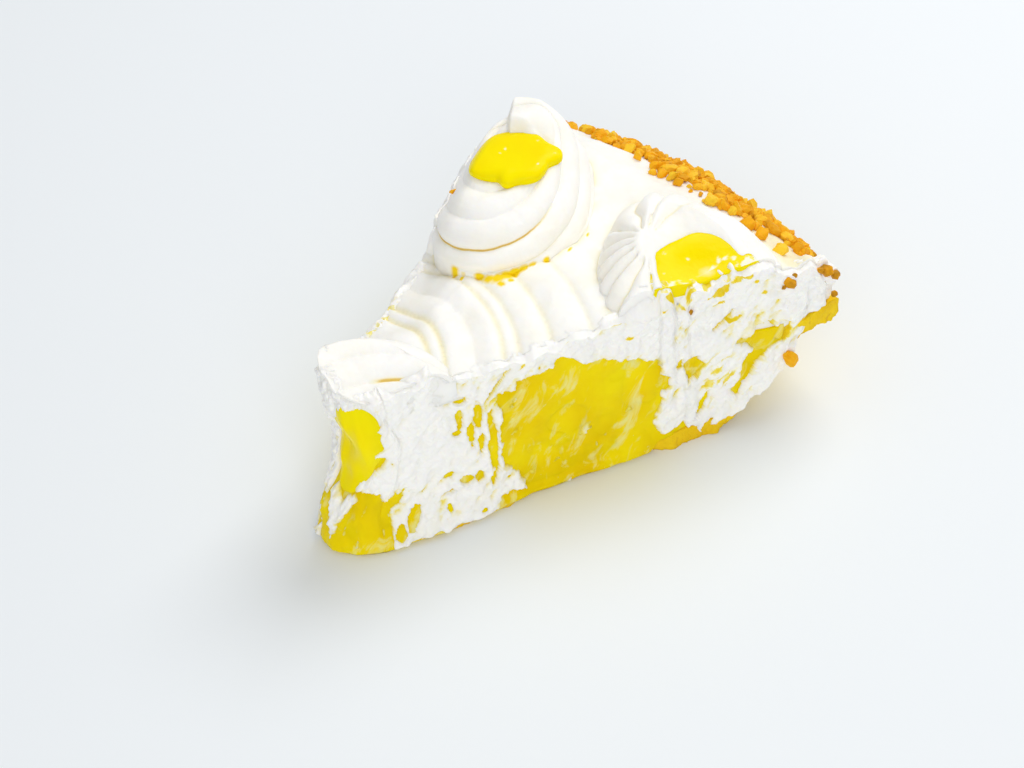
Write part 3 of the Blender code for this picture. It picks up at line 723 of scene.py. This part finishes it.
def make_run(name):
    """Gel that comes out under the rosette at the tip and runs down the cut, as a flat drop on it."""
    middle_u, middle_z, half_wide, half_high = -6.0, 29.0, 12.6, 13.6

    def shape(round_trip, share):
        angle = round_trip * math.tau
        a = math.pi * (share - 0.5)
        out = np.maximum(np.cos(a), 0.0) ** 0.7
        z = middle_z + half_high * out * np.sin(angle)
        ragged = half_wide + 0.8 * bumps(z, angle, 0.0, 6.0, 2, 3.0)
        u = middle_u + 0.3 * (middle_z - z) + ragged * out * np.cos(angle)
        front = 0.1 + 1.6 * np.abs(np.sin(a)) ** 0.8 + 0.35 * bumps(u, z * 0.5, 0.0, 6.0, 2, 8.0)
        x, y = cut_wall(u, z, np.where(a > 0.0, front, -2.5 + 2.6 * out))
        return x, y, z
    return skin(name, 150, 90, shape)


# Cream smeared on the cuts

# Outlines of the places where the gel shows, as (distance from the axis, height). Distances on the near cut
# are negative.
NEAR_WINDOWS = {
    "main": [(-49.3, 33.3), (-53.6, 32.8), (-54.3, 34.8), (-57.6, 35.1), (-62.5, 35.7), (-64.8, 38.1),
             (-69.0, 34.7), (-72.2, 34.0), (-78.2, 30.1), (-87.1, 27.8), (-88.4, 25.5), (-88.2, 22.9),
             (-90.3, 20.6), (-90.0, 18.3), (-88.0, 18.1), (-88.3, 14.9), (-86.8, 11.7), (-85.8, 8.0),
             (-87.6, 4.6), (-86.7, -2.0), (-56.4, -2.0), (-54.4, 1.0), (-54.0, 5.3), (-52.6, 8.5),
             (-49.6, 12.6), (-49.4, 18.2), (-49.2, 22.5), (-50.0, 26.3)],
    "drip": [(-4.0, 38.2), (-10.0, 40.5), (-15.6, 41.2), (-17.6, 40.0), (-19.4, 37.4), (-17.4, 34.9),
             (-17.6, 31.7), (-18.0, 29.6), (-15.8, 28.3), (-14.5, 26.6), (-17.8, 26.2), (-16.8, 24.3),
             (-11.9, 21.4), (-7.0, 19.2), (-2.3, 17.3), (-0.4, 13.9), (4.2, 14.7), (9.6, 18.4), (8.2, 22.1),
             (8.6, 26.8), (4.6, 30.3)],
    "bulge": [(-7.8, 16.8), (-10.8, 15.8), (-16.9, 16.0), (-17.7, 13.9), (-23.9, 15.4), (-25.1, 13.4),
              (-23.4, 10.7), (-20.9, 8.8), (-22.1, 5.7), (-21.1, -2.0), (14.0, -2.0), (17.0, 8.0),
              (15.0, 15.0), (11.0, 17.0)],
    "low_run": [(-46.4, -1.0), (-48.3, 3.4), (-52.6, 3.9), (-56.8, 3.1), (-56.8, -2.0), (-46.4, -2.0)],
    "rim": [(-107.5, 24.9), (-110.5, 26.2), (-112.5, 27.3), (-114.2, 27.8), (-116.2, 26.2), (-118.4, 26.9),
            (-120.1, 25.2), (-118.9, 21.2), (-116.3, 20.0), (-114.0, 18.2), (-111.8, 16.4), (-110.6, 12.7),
            (-107.1, 9.4), (-106.2, 10.4), (-108.2, 15.1), (-110.0, 19.3), (-111.7, 20.6), (-109.3, 23.3)],
    "slit": [(-94.9, 24.8), (-96.7, 24.8), (-98.9, 21.4), (-96.7, 19.3), (-94.9, 17.3), (-94.4, 20.3)],
}
FAR_WINDOWS = {
    "middle": [(30.0, 4.0), (29.0, 20.0), (35.0, 29.0), (50.0, 30.5), (63.0, 27.0), (74.0, 29.0),
               (79.0, 20.0), (76.0, 9.0), (62.0, 5.0), (46.0, 3.0)],
    "outer": [(88.0, 24.0), (97.0, 25.0), (106.0, 21.0), (110.0, 15.0), (103.0, 9.0), (92.0, 8.0),
              (86.0, 14.0)],
    "foot": [(8.0, 2.0), (8.0, 12.0), (16.0, 15.0), (22.0, 10.0), (21.0, 3.0)],
}
# A tongue of cream across the gel at the tip.
NEAR_COVER = [(6.0, 14.6), (4.6, 16.2), (-2.2, 14.6), (-6.8, 16.6), (-8.9, 14.5), (-5.2, 11.0), (-1.6, 7.6),
              (0.2, 2.0), (1.8, 3.0), (2.4, 10.0)]
# Small holes and scratches: middle, half width, half height and how far the top leans to the outer side.
NEAR_SPOTS = [
    (-40.7, 35.5, 1.3, 1.0, 0.0), (-40.1, 30.0, 0.6, 2.4, 0.0), (-39.3, 26.2, 0.8, 0.7, 0.0),
    (-44.3, 29.8, 1.0, 3.4, 0.0), (-42.5, 25.6, 0.6, 3.2, 0.0), (-44.6, 22.4, 0.7, 2.4, 0.0),
    (-47.2, 20.0, 1.0, 8.2, 0.0), (-46.8, 10.4, 0.7, 2.4, 0.0), (-49.2, 36.0, 0.7, 2.9, 0.9),
    (-36.6, 14.9, 1.0, 1.0, 0.0), (-40.6, 11.9, 1.3, 1.2, 0.0), (-43.7, 12.1, 1.0, 1.8, 0.0),
    (-36.2, 10.0, 1.3, 0.5, 0.0), (-35.9, 5.9, 0.5, 0.9, 0.0), (-43.4, 2.5, 0.5, 0.5, 0.0),
    (-27.5, 6.7, 1.4, 2.7, 0.4), (-23.9, 4.3, 1.2, 2.2, 0.2), (-93.0, 23.7, 0.6, 1.0, 0.0),
    (-98.6, 8.9, 0.6, 2.6, 0.5), (-31.8, 1.2, 1.2, 0.5, 0.0), (-104.0, 32.6, 1.0, 2.0, 0.9),
]
FAR_SPOTS = [
    (24.0, 22.0, 0.8, 3.0, 0.0), (40.0, 32.0, 0.7, 2.0, 0.0), (84.0, 27.0, 1.0, 3.0, 0.2),
    (99.0, 29.0, 1.2, 1.2, 0.0), (112.0, 22.0, 0.8, 2.4, 0.5), (27.0, 12.0, 1.0, 1.4, 0.0),
    (83.0, 10.0, 0.8, 2.6, 0.0), (69.0, 32.0, 1.4, 0.8, 0.0),
]
# Gel dragged into the cream, level with it, in the same form as the holes.
NEAR_STAINS = [
    (-91.6, 43.6, 1.5, 2.6, -0.5), (-95.0, 42.2, 0.8, 0.6, 0.0), (-102.8, 41.6, 2.3, 1.5, 0.4),
    (-102.8, 37.6, 1.5, 0.5, 0.3), (-106.3, 32.3, 1.9, 0.8, 1.1), (-88.1, 41.5, 1.8, 0.35, -0.6),
    (-78.9, 41.3, 2.4, 0.35, -0.8), (-80.7, 36.9, 1.0, 0.5, 0.0), (-109.2, 43.6, 1.3, 0.7, 0.2),
    (-106.9, 43.2, 1.1, 1.7, 0.6), (-98.4, 44.6, 1.1, 0.7, 0.0), (-111.6, 40.6, 0.7, 1.0, 0.3),
    (-99.6, 41.0, 0.8, 0.5, 0.3), (-66.1, 42.1, 0.5, 0.9, 0.4), (-113.8, 36.6, 0.7, 0.5, 0.0),
    (-55.0, 39.6, 0.5, 1.3, 0.6),
]
FAR_STAINS = [
    (45.0, 39.0, 1.6, 0.8, 0.3), (58.0, 35.0, 1.2, 0.6, 0.4), (100.0, 33.0, 1.6, 0.7, 0.5),
    (108.0, 30.0, 1.0, 1.2, 0.2),
]
# Where the cream is dragged so thin that gel shows through: middle, half width, half height and how much.
NEAR_THIN = [
    (-102.0, 16.0, 9.0, 12.0, 0.9), (-110.0, 29.0, 8.0, 6.0, 0.6), (-45.0, 24.0, 7.0, 13.0, 0.6),
    (-88.0, 44.0, 24.0, 5.0, 0.35), (-32.0, 5.0, 12.0, 5.0, 0.4), (-62.0, 38.0, 14.0, 4.0, 0.3),
]
FAR_THIN = [
    (30.0, 24.0, 10.0, 8.0, 0.6), (84.0, 16.0, 8.0, 12.0, 0.8), (60.0, 33.0, 20.0, 5.0, 0.5),
]


def inside_of(u, z, corners):
    """Distance inside an outline, negative outside it."""
    ring = np.asarray(corners, float)
    best = np.full(u.shape, 1e9)
    odd = np.zeros(u.shape, bool)
    for (x0, z0), (x1, z1) in zip(ring, np.roll(ring, -1, 0)):
        run, rise = x1 - x0, z1 - z0
        t = np.clip(((u - x0) * run + (z - z0) * rise) / (run * run + rise * rise), 0.0, 1.0)
        best = np.minimum(best, np.hypot(u - x0 - t * run, z - z0 - t * rise))
        if rise:
            odd ^= ((z0 > z) != (z1 > z)) & (u < x0 + run * (z - z0) / rise)
    return np.where(odd, best, -best)


def smear_height(u, z, windows, cover, spots, seed):
    """How proud of the cut the dragged cream stands, below 0 where the gel shows, and how strong a veil of
    gel lies in it."""
    ragged = 0.9 * bumps(u, z, 0.0, 3.6, 4, seed) + 0.3 * bumps(u, z, 5.0, 1.4, 2, seed)
    window = np.max([inside_of(u, z, corners) for corners in windows.values()], 0)
    if cover:
        window = np.minimum(window, -inside_of(u, z, cover))
    window = window + ragged
    holes = np.full(u.shape, -5.0)
    for at, level, wide, tall, lean in spots:
        slant = (u - at) + lean * (z - level)
        holes = np.maximum(holes, (1.0 - np.hypot(slant / wide, (z - level) / tall)) * wide)
    holes = holes + 0.35 * bumps(u, z, 2.0, 1.3, 2, seed)
    dragged = bumps((z + u) * 1.2, (z - u) * 0.5, 3.0, 2.6, 3, seed)
    lumps = 0.85 * bumps(u, z, 9.0, 5.0, 4, seed) + 0.5 * dragged
    pits = np.minimum(0.0, bumps(u, z, 1.0, 2.4, 3, seed + 1.0) + 0.45) * 0.9
    high = 1.1 + lumps + pits - 2.6 * step((window + 0.7) / 1.4) - 2.2 * step((holes + 0.35) / 0.6)
    wisps = bumps((z + u) * 1.4, (z - u) * 0.5, 0.0, 5.0, 4, seed + 3.0)
    high = high + 1.5 * step((wisps - 0.3) / 0.2) * step((window - 0.5) / 2.0)
    veil = 0.7 * step((window + 4.0) / 4.0) * step((wisps + bumps(u, z, 0.0, 1.6, 3, seed + 8.0) + 0.1) / 0.5)
    return high, veil


def gel_in_cream(u, z, stains, thin, seed):
    """How much of the gel's yellow shows in the dragged cream, from 0 to 1."""
    marks = np.full(u.shape, -5.0)
    for at, level, wide, tall, lean in stains:
        slant = (u - at) + lean * (z - level)
        marks = np.maximum(marks, (1.0 - np.hypot(slant / wide, (z - level) / tall)) * wide)
    marks = step((marks + 0.5 * bumps(u, z, 6.0, 1.5, 3, seed) + 0.15) / 0.5)
    streaks = step((bumps((z + u) * 1.3, (z - u) * 0.4, 0.0, 3.2, 4, seed + 5.0) + 0.15) / 0.5)
    veil = np.zeros(u.shape)
    for at, level, wide, tall, amount in thin:
        away = np.hypot((u - at) / wide, (z - level) / tall)
        veil = np.maximum(veil, amount * step((1.2 - away) / 0.8))
    return np.maximum(marks, veil * streaks)


def make_smear(name, start, end, columns, marks, lip_gel, foot_line, top, seed):
    """Cream dragged over a cut and over the edge of the top, as a closed skin with its back inside the slice.
    marks says where gel shows in it, lip_gel how much gel is rubbed into the edge of the top, as (distance
    along the cut, amount), and foot_line where it ends below."""
    around = 220
    face_end, fold_end = 0.8, 0.92         # shares of a turn: up the face, over the edge, and back inside

    def shape(turn, share):
        u = start + (end - start) * level_of(share, columns)
        up = np.interp(turn, (0.0, face_end, fold_end, 1.0), (0.0, 1.0, 1.0, 0.0))
        over = np.clip((turn - face_end) / 0.12, 0.0, 1.0)
        far = np.abs(u)
        torn = 0.9 * bumps(u, 0.0, 0.0, 4.5, 3, seed) + 0.5 * bumps(u, 0.0, 0.0, 1.6, 2, seed)
        low = curve(far, foot_line) + torn * step((far - 88.0) / 6.0) * step((124.0 - far) / 3.0)
        places, at_edge, inside = top
        high = np.interp(u, places, at_edge)
        high = high + (np.interp(u, places, inside) - high) * step(over * 1.3)
        rolled = curve(over, [(0.0, -0.7), (0.3, 0.15), (0.65, 0.1), (1.0, -0.9)])
        lumps = 0.9 * bumps(u, over * 3.0, 0.0, 2.6, 3, seed + 2.0) * np.sin(math.pi * over)
        z = low + (high + rolled + lumps - low) * up
        proud, veil = smear_height(u, z, marks["windows"], marks["cover"], marks["spots"], seed)
        gel = np.maximum(gel_in_cream(u, z, marks["stains"], marks["thin"], seed), veil)
        smudge = step((bumps(u, over * 4.0, 0.0, 1.8, 3, seed + 7.0) + 0.12) / 0.3)
        thick = np.where(over > 0.0, 1.0 - smudge * curve(u, lip_gel), np.clip(proud, 0.0, 1.0) * (1.0 - gel))
        foot = step(up / 0.02)
        face = np.maximum(proud, -1.2) * foot - 0.4 * (1.0 - foot)
        thin_top = 1.0 - 0.6 * step((up - 0.7) / 0.3) * (u > 12.0)
        face = np.where(face > 0.0, face * thin_top, face)
        reach_in = 3.0 + 1.2 * bumps(u, 0.0, 0.0, 3.0, 2, seed + 4.0)
        back = -2.2 - (reach_in - 2.2) * up
        proud = np.where(turn <= fold_end, face + (-reach_in - face) * over, back)
        ends = step((u - start) / 2.0) * step((end - u) / 2.0)
        x, y = cut_wall(u, z, proud * ends - 1.4 * (1.0 - ends))
        pole = (share == 0.0) | (share == 1.0)
        edge = np.where(share == 0.0, start, end)
        px, py = cut_wall(edge, z * 0.0 + 20.0, -1.5)
        middle = (curve(np.abs(edge), foot_line) + np.interp(edge, places, at_edge)) / 2.0
        return np.where(pole, px, x), np.where(pole, py, y), np.where(pole, middle, z), thick
    return skin(name, around, columns, shape, "thickness")


def make_gel_face(name, start, end, columns, foot_line, dents, seed):
    """The gel's own soft face at a cut. Near the tip it has run down over the crust. dents are (distance
    along the cut, height, size, depth)."""
    around = 150

    def shape(turn, share):
        u = start + (end - start) * level_of(share, columns)
        up = np.interp(turn, (0.0, 0.8, 1.0), (0.0, 1.0, 0.0))
        low = curve(np.abs(u), foot_line)
        high = gel_surface(np.abs(u)) + 1.5 - slump(np.abs(u) * COS, u * SIN)[0]
        z = low + (high - low) * up
        soft = 0.5 * bumps(u, z, 0.0, 11.0, 2, seed) + 0.3 * bumps(u, z * 0.6, 0.0, 4.0, 3, seed + 1.0)
        proud = 0.15 + 0.5 * step((6.0 - z) / 4.0) + soft * 0.8 + 0.1 * bumps(u, z, 0.0, 1.4, 2, seed)
        for at_u, at_z, size, deep in dents:
            away = np.hypot((u - at_u) / size, (z - at_z) / (size * 0.75))
            proud = proud - deep * step(1.4 - away)
        ends = step((u - start) / 3.0) * step((end - u) / 3.0)
        rim = step(up / 0.03) * step((1.0 - up) / 0.04)
        proud = np.where(turn < 0.8, proud * rim - 0.5 * (1.0 - rim), -2.0) * ends - 1.8 * (1.0 - ends)
        x, y = cut_wall(u, z, proud)
        pole = (share == 0.0) | (share == 1.0)
        edge = np.where(share == 0.0, start, end)
        px, py = cut_wall(edge, z * 0.0 + 15.0, -2.0)
        middle = (curve(np.abs(edge), foot_line) + gel_surface(np.abs(edge))) / 2.0
        return np.where(pole, px, x), np.where(pole, py, y), np.where(pole, middle, z)
    return skin(name, around, columns, shape)


def make_lump(name, middle, size):
    """A torn lump of cream on the near cut. Its middle and half sizes go along the cut, out of it and up."""
    def shape(turn, share):
        angle, a = turn * math.tau, math.pi * (share - 0.5)
        out = np.stack([np.cos(a) * np.cos(angle), np.cos(a) * np.sin(angle), np.sin(a)])
        rough = 1.0 + 0.4 * bumps(*(out * 6.0), 5.0, 4, middle[2])
        along, depth, z = np.array(middle)[:, None] + np.array(size)[:, None] * out * rough
        return along * COS + depth * SIN, depth * COS - along * SIN, z, np.ones(turn.shape)
    return skin(name, 150, 100, shape, "thickness")


def tree_of(things):
    """The surfaces of finished pieces, to find places on."""
    shape = bmesh.new()
    for thing in things:
        shape.from_mesh(thing.data)
    tree = BVHTree.FromBMesh(shape)
    shape.free()
    return tree


def landing(tree, origin, direction):
    """Where a straight line first meets the surfaces, with the normal there, in millimetres."""
    start = (Vector(origin) - Vector((AXIS_TO_ORIGIN, 0.0, 0.0))) * MM
    spot, normal, _, _ = tree.ray_cast(start, Vector(direction).normalized())
    if spot is None:
        return None, None
    return spot / MM + Vector((AXIS_TO_ORIGIN, 0.0, 0.0)), normal


def top_line(tree, start, end):
    """Heights of the cream's top just inside the cut and a little further in, all the way along it."""
    places = np.linspace(start, end, 500)
    lines = []
    for inset in (-0.6, -2.6):
        x, y = cut_wall(places, np.full(places.shape, 38.0), inset)
        heights = []
        for px, py in zip(x, y):
            spot, _ = landing(tree, (px, py, 90.0), (0.0, 0.0, -1.0))
            heights.append(spot.z if spot else 36.0)
        heights = np.array(heights)
        heights = np.minimum(np.minimum(np.roll(heights, 2), heights), np.roll(heights, -2))
        for _ in range(2):
            heights[1:-1] = (heights[:-2] + heights[1:-1] * 2.0 + heights[2:]) / 4.0
        lines.append(heights)
    return places, *lines


# Crumbs

def crumb(rng, size):
    """One chip of toasted nut, broken along a few flat faces, round its own middle."""
    shape = bmesh.new()
    bmesh.ops.create_icosphere(shape, subdivisions=2, radius=1.0)
    squash = Vector((rng.uniform(0.8, 1.2), rng.uniform(0.8, 1.2), rng.uniform(0.55, 0.95))) * size
    shift = Vector((rng.random(), rng.random(), rng.random())) * 40.0
    turn = rng.uniform(0.0, math.tau)
    spin = Matrix.Rotation(turn, 3, Vector((rng.random(), rng.random(), rng.random() + 0.1)))
    breaks = []
    for _ in range(9):
        side = Vector((rng.gauss(0.0, 1.0), rng.gauss(0.0, 1.0), rng.gauss(0.0, 1.0))).normalized()
        breaks.append((side, rng.uniform(0.55, 0.95)))
    for point in shape.verts:
        out = point.co.normalized()
        far = min([1.15, *[away / out.dot(side) for side, away in breaks if out.dot(side) > 0.05]])
        far = far + 0.14 * noise.noise(out * 2.6 + shift)
        point.co = spin @ Vector([a * b * far for a, b in zip(out, squash)])
    return shape


def add_crumb(joined, rng, middle, size, shades, shade):
    """Adds one chip to the joined ones, and its shade once for each of its points."""
    one = crumb(rng, size)
    bmesh.ops.translate(one, verts=one.verts, vec=middle)
    shades.extend([shade] * len(one.verts))
    mesh = bpy.data.meshes.new("one")
    one.to_mesh(mesh)
    one.free()
    joined.from_mesh(mesh)
    bpy.data.meshes.remove(mesh)


# Inner edge of the band of crumbs, as (degrees round the pie, radius).
BAND = [
    (-20.0, 128.8), (-17.5, 128.3), (-15.5, 127.2), (-12.5, 126.3), (-11.0, 122.0), (-10.0, 117.4),
    (-4.0, 117.2), (-0.8, 118.5), (4.5, 121.0), (10.0, 121.5), (13.0, 126.0), (14.5, 128.0), (21.0, 129.0),
]


def on_foot(spec, spot):
    """Whether a spot lies on a rosette."""
    dx, dy = spot.x - spec["at"][0], spot.y - spec["at"][1]
    return math.hypot(dx, dy) < reach(spec, math.atan2(dy, dx))


def crumb_places(rng, tree):
    """Places of the crumbs along the rim, in clumps, on the top and down the outer side."""
    count = 860
    for index in range(count):
        degrees = -17.6 + 38.0 * (index + rng.random()) / count
        if 14.4 < degrees < 18.0 and rng.random() < 0.85:
            continue
        angle = math.radians(degrees)
        clump = noise.noise(Vector((degrees * 0.55, 3.0, 0.0)))
        size = rng.triangular(0.5, 2.2, 1.0)
        if rng.random() < 0.72:
            inner = float(curve(np.array(degrees), BAND)) - 1.5 * clump
            radius = inner + (131.3 - inner) * rng.random() ** 0.8
            patchy = noise.noise(Vector((degrees * 0.9, radius * 0.35, 7.0)))
            if radius < 125.0 and patchy < -0.3:
                continue
            over = (radius * math.cos(angle), radius * math.sin(angle), 90.0)
            spot, normal = landing(tree, over, (0, 0, -1))
        else:
            z = rng.triangular(29.5, 36.5, 35.0)
            spot, normal = landing(tree, (160 * math.cos(angle), 160 * math.sin(angle), z),
                                   (-math.cos(angle), -math.sin(angle), 0))
        if spot is None or spot.z > 50.0:
            continue
        if any(on_foot(spec, spot) for spec in ROSETTES.values()):
            continue
        yield spot + normal * size * 0.4, size


# Crumbs that lie by themselves: on the top at x and y, and stuck to the near cut at a distance from the axis
# and a height, each with its radius and shade.
TOP_CRUMBS = [
    (119.7, 9.2, 1.5, 0.55), (119.6, 3.4, 1.3, 0.5), (117.9, -0.4, 1.4, 0.5), (116.5, 1.5, 1.0, 0.6),
    (119.1, -21.5, 2.2, 0.5), (117.4, -26.2, 2.1, 0.45), (118.6, -27.6, 1.5, 0.5),
    (116.4, -31.2, 2.1, 0.45), (115.9, -37.2, 2.0, 0.8), (117.2, -36.2, 1.5, 0.75),
    (125.2, 36.0, 0.9, 0.05), (124.2, 38.4, 0.8, 0.05), (126.4, 33.4, 0.8, 0.1), (76.6, 25.6, 1.1, 0.45),
]
CUT_CRUMBS = [
    (-119.9, 15.9, 2.1, 0.5), (-120.3, 14.7, 1.9, 0.55), (-129.0, 37.4, 1.6, 0.1),
    (-127.4, 38.0, 1.1, 0.14), (-131.4, 35.2, 1.3, 0.08), (-119.4, 37.9, 1.3, 0.12),
    (-118.2, 37.2, 0.9, 0.1), (-120.8, 39.2, 0.7, 0.05), (-131.3, 29.4, 0.9, 0.06), (-95.1, 38.9, 0.6, 0.04),
]


def make_crumbs(name, tree):
    rng = random.Random(7)
    joined = bmesh.new()
    shades = []
    for middle, size in crumb_places(rng, tree):
        add_crumb(joined, rng, middle, size, shades, rng.uniform(0.15, 0.8))
    for x, y, size, shade in TOP_CRUMBS:
        spot, normal = landing(tree, (x, y, 90.0), (0, 0, -1))
        add_crumb(joined, rng, spot + normal * size * 0.3, size, shades, shade)
    for u, z, size, shade in CUT_CRUMBS:
        x, y = cut_wall(np.array([u]), np.array([z]), 1.0 + size * 0.3)
        add_crumb(joined, rng, Vector((x[0], y[0], z)), size, shades, shade)
    bmesh.ops.scale(joined, verts=joined.verts, vec=(MM, MM, MM))
    bmesh.ops.translate(joined, verts=joined.verts, vec=(-AXIS_TO_ORIGIN * MM, 0.0, 0.0))
    mesh = bpy.data.meshes.new(name)
    joined.to_mesh(mesh)
    joined.free()
    thing = bpy.data.objects.new(name, mesh)
    bpy.context.scene.collection.objects.link(thing)
    paint(thing, "shade", shades)
    return thing


# The slice

# Where the pieces at the cuts end below, as (distance from the axis, height). The crust shows under them from
# 84 mm out, and the near cut's cream hangs down beside the torn scrap of crust.
NEAR_FOOT = [
    (0.0, 0.05), (20.0, 0.05), (24.0, 0.7), (50.0, 0.7), (55.0, 0.05), (84.0, 0.05), (88.5, 4.4), (91.2, 5.2),
    (93.5, 6.2), (95.0, 3.0), (98.5, 1.0), (102.7, 1.9), (105.1, 3.4), (109.0, 5.4), (114.3, 7.5),
    (118.6, 11.3), (119.6, 13.8), (122.0, 17.0), (123.4, 19.4), (125.0, 26.0), (131.0, 27.2),
]
NEAR_GEL_FOOT = [
    (0.0, 0.05), (84.0, 0.05), (88.0, 2.5), (100.0, 4.0), (108.0, 8.0), (114.0, 14.0), (122.0, 22.0),
]
FAR_FOOT = [
    (0.0, 0.1), (20.0, 0.4), (26.0, 3.0), (60.0, 4.0), (103.0, 4.5), (108.0, 7.0), (113.0, 13.5),
    (118.0, 18.0), (123.0, 24.5), (131.0, 25.6),
]
# How much gel is rubbed into the edge of the top, as (distance from the axis, amount).
NEAR_LIP_GEL = [(-132.0, 0.0), (-108.0, 0.2), (-104.0, 0.9), (-90.0, 0.9), (-86.0, 0.1), (12.0, 0.1)]
FAR_LIP_GEL = [(6.0, 0.1), (34.0, 0.1), (40.0, 0.8), (52.0, 0.8), (58.0, 0.1), (131.0, 0.1)]
NEAR_MARKS = dict(
    windows=NEAR_WINDOWS, cover=NEAR_COVER, spots=NEAR_SPOTS, stains=NEAR_STAINS, thin=NEAR_THIN)
FAR_MARKS = dict(windows=FAR_WINDOWS, cover=None, spots=FAR_SPOTS, stains=FAR_STAINS, thin=FAR_THIN)
NEAR_DENTS = [(-65.5, 19.0, 4.2, 1.5)]
# The cream's edge dips beside the right dollop, so that its gel shows: where, how far both ways, how deep.
DOLLOP_DIP = (-106.0, 9.0, 1.6)


def finish_piece(thing, material, replaced=None):
    thing.data.materials.clear()
    thing.data.materials.append(material)
    thing.data.shade_smooth()
    if replaced:
        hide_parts(replaced)
    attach(thing, "root")


def main():
    cream_look, smear_look, crust_look, nut_look = whipped_cream(), smeared_cream(), pastry(), toasted_nuts()
    gel_look = lemon_gel("lemon pie filling", "#fae006", "#ecc800", 0.75)
    dollop_look = lemon_gel("lemon gel dollop", "#ffe802", "#fce000", 0.0)

    blade, inner_blade = knife("blade"), knife("inner_blade", -0.3)
    crust_blade = knife("crust_blade", crust=True)
    crust, filling, cream = make_crust(), make_filling(), make_cream()
    rosettes = [make_rosette(name) for name in ROSETTES]
    dollops = [make_dollop(name + "_gel", **spec) for name, spec in DOLLOPS.items()]
    run = make_run("dollop_tip_gel")
    proud_blade = knife("proud_blade", 0.7)
    for thing, tool in [
            (crust, crust_blade), (filling, blade), (cream, inner_blade), (rosettes[2], proud_blade),
            *[(r, inner_blade) for r in rosettes[:2]], *[(d, blade) for d in dollops]]:
        cut(thing, tool)
    for tool in (blade, inner_blade, crust_blade, proud_blade):
        bpy.data.objects.remove(tool)

    tree = tree_of([cream, *rosettes, dollops[1]])
    places, *heights = top_line(tree, -131.0, 12.0)
    middle, wide, deep = DOLLOP_DIP
    dip = deep * np.exp(-(((places - middle) / wide) ** 2)) * (1.0 + bumps(places, 0.0, 0.0, 3.0, 3, 15.0))
    near_top = (places, *[line - dip for line in heights])
    far_top = top_line(tree, 6.0, 131.0)
    near = make_smear("near_cut_smear", -131.0, 12.0, 440, NEAR_MARKS, NEAR_LIP_GEL, NEAR_FOOT, near_top, 1.0)
    far = make_smear("far_cut_smear", 6.0, 131.0, 400, FAR_MARKS, FAR_LIP_GEL, FAR_FOOT, far_top, 9.0)
    near_gel = make_gel_face("near_cut_gel", -121.0, 12.0, 330, NEAR_GEL_FOOT, NEAR_DENTS, 4.0)
    far_gel = make_gel_face("far_cut_gel", 6.0, 121.0, 300, FAR_FOOT, [], 6.0)
    lumps = [make_lump("corner_cream_lump", (125.8, 2.2, 34.6), (6.2, 3.4, 4.8)),
             make_lump("corner_cream_lump_low", (128.6, 2.0, 30.6), (3.6, 2.6, 3.4))]
    crumbs = make_crumbs("nut_crumbs", tree_of([cream, *rosettes, near, far]))

    finish_piece(crust, crust_look, "crust")
    finish_piece(filling, gel_look, "lemon_filling")
    finish_piece(cream, cream_look, "whipped_cream")
    for name, thing in zip(ROSETTES, rosettes):
        finish_piece(thing, cream_look, name)
    for name, thing in [*zip(DOLLOPS, dollops), ("dollop_tip", run)]:
        finish_piece(thing, dollop_look, name)
    for thing in (near_gel, far_gel):
        finish_piece(thing, gel_look, None)
    for thing in (near, far, *lumps):
        finish_piece(thing, smear_look, None)
    finish_piece(crumbs, nut_look)
    crumbs.data.shade_flat()


def camera():
    """The camera at the photograph's viewing angle, solved from its perspective, in metres."""
    right, up = Vector((0.70513, -0.70681, -0.05668)), Vector((0.50742, 0.44714, 0.73661))
    seen = bpy.data.cameras.new("camera")
    seen.lens, seen.sensor_width = 82.06, 36.0
    thing = bpy.data.objects.new("camera", seen)
    bpy.context.scene.collection.objects.link(thing)
    frame_axes = Matrix((right, up, right.cross(up))).transposed().to_4x4()
    frame_axes.translation = Vector((-0.26761, -0.292557, 0.370665))
    thing.matrix_world = frame_axes
    bpy.context.scene.camera = thing


def light(name, place, aim, size, power):
    """A square soft light, with its place, aim and size in metres and its power in watts."""
    lamp = bpy.data.lights.new(name, "AREA")
    lamp.size, lamp.energy = size, power
    thing = bpy.data.objects.new(name, lamp)
    bpy.context.scene.collection.objects.link(thing)
    thing.location = place
    thing.rotation_euler = (Vector(aim) - Vector(place)).to_track_quat("-Z", "Y").to_euler()


def studio():
    """A plain pale floor under two soft lights and a pale sky."""
    drop_selection()
    bpy.ops.mesh.primitive_plane_add(size=6.0)
    floor = bpy.context.object
    floor.name = "studio_floor"
    made, _, shader, _ = new_material("studio floor", Roughness=0.9)
    shader.inputs["Base Color"].default_value = rgb("#edf1f4")
    floor.data.materials.append(made)
    slice_middle = (0.0, 0.0, 0.02)
    light("key", (0.5, 0.05, 0.75), slice_middle, 0.55, 4.1)
    light("fill", (-0.55, -0.6, 0.5), slice_middle, 0.7, 3.0)
    world = bpy.data.worlds.new("studio")
    world.use_nodes = True
    sky = world.node_tree.nodes["Background"]
    sky.inputs["Color"].default_value = rgb("#fafbfc")
    sky.inputs["Strength"].default_value = 0.52
    bpy.context.scene.world = world
    bpy.context.scene.view_settings.view_transform = "Standard"


main()
camera()
studio()
drop_selection()
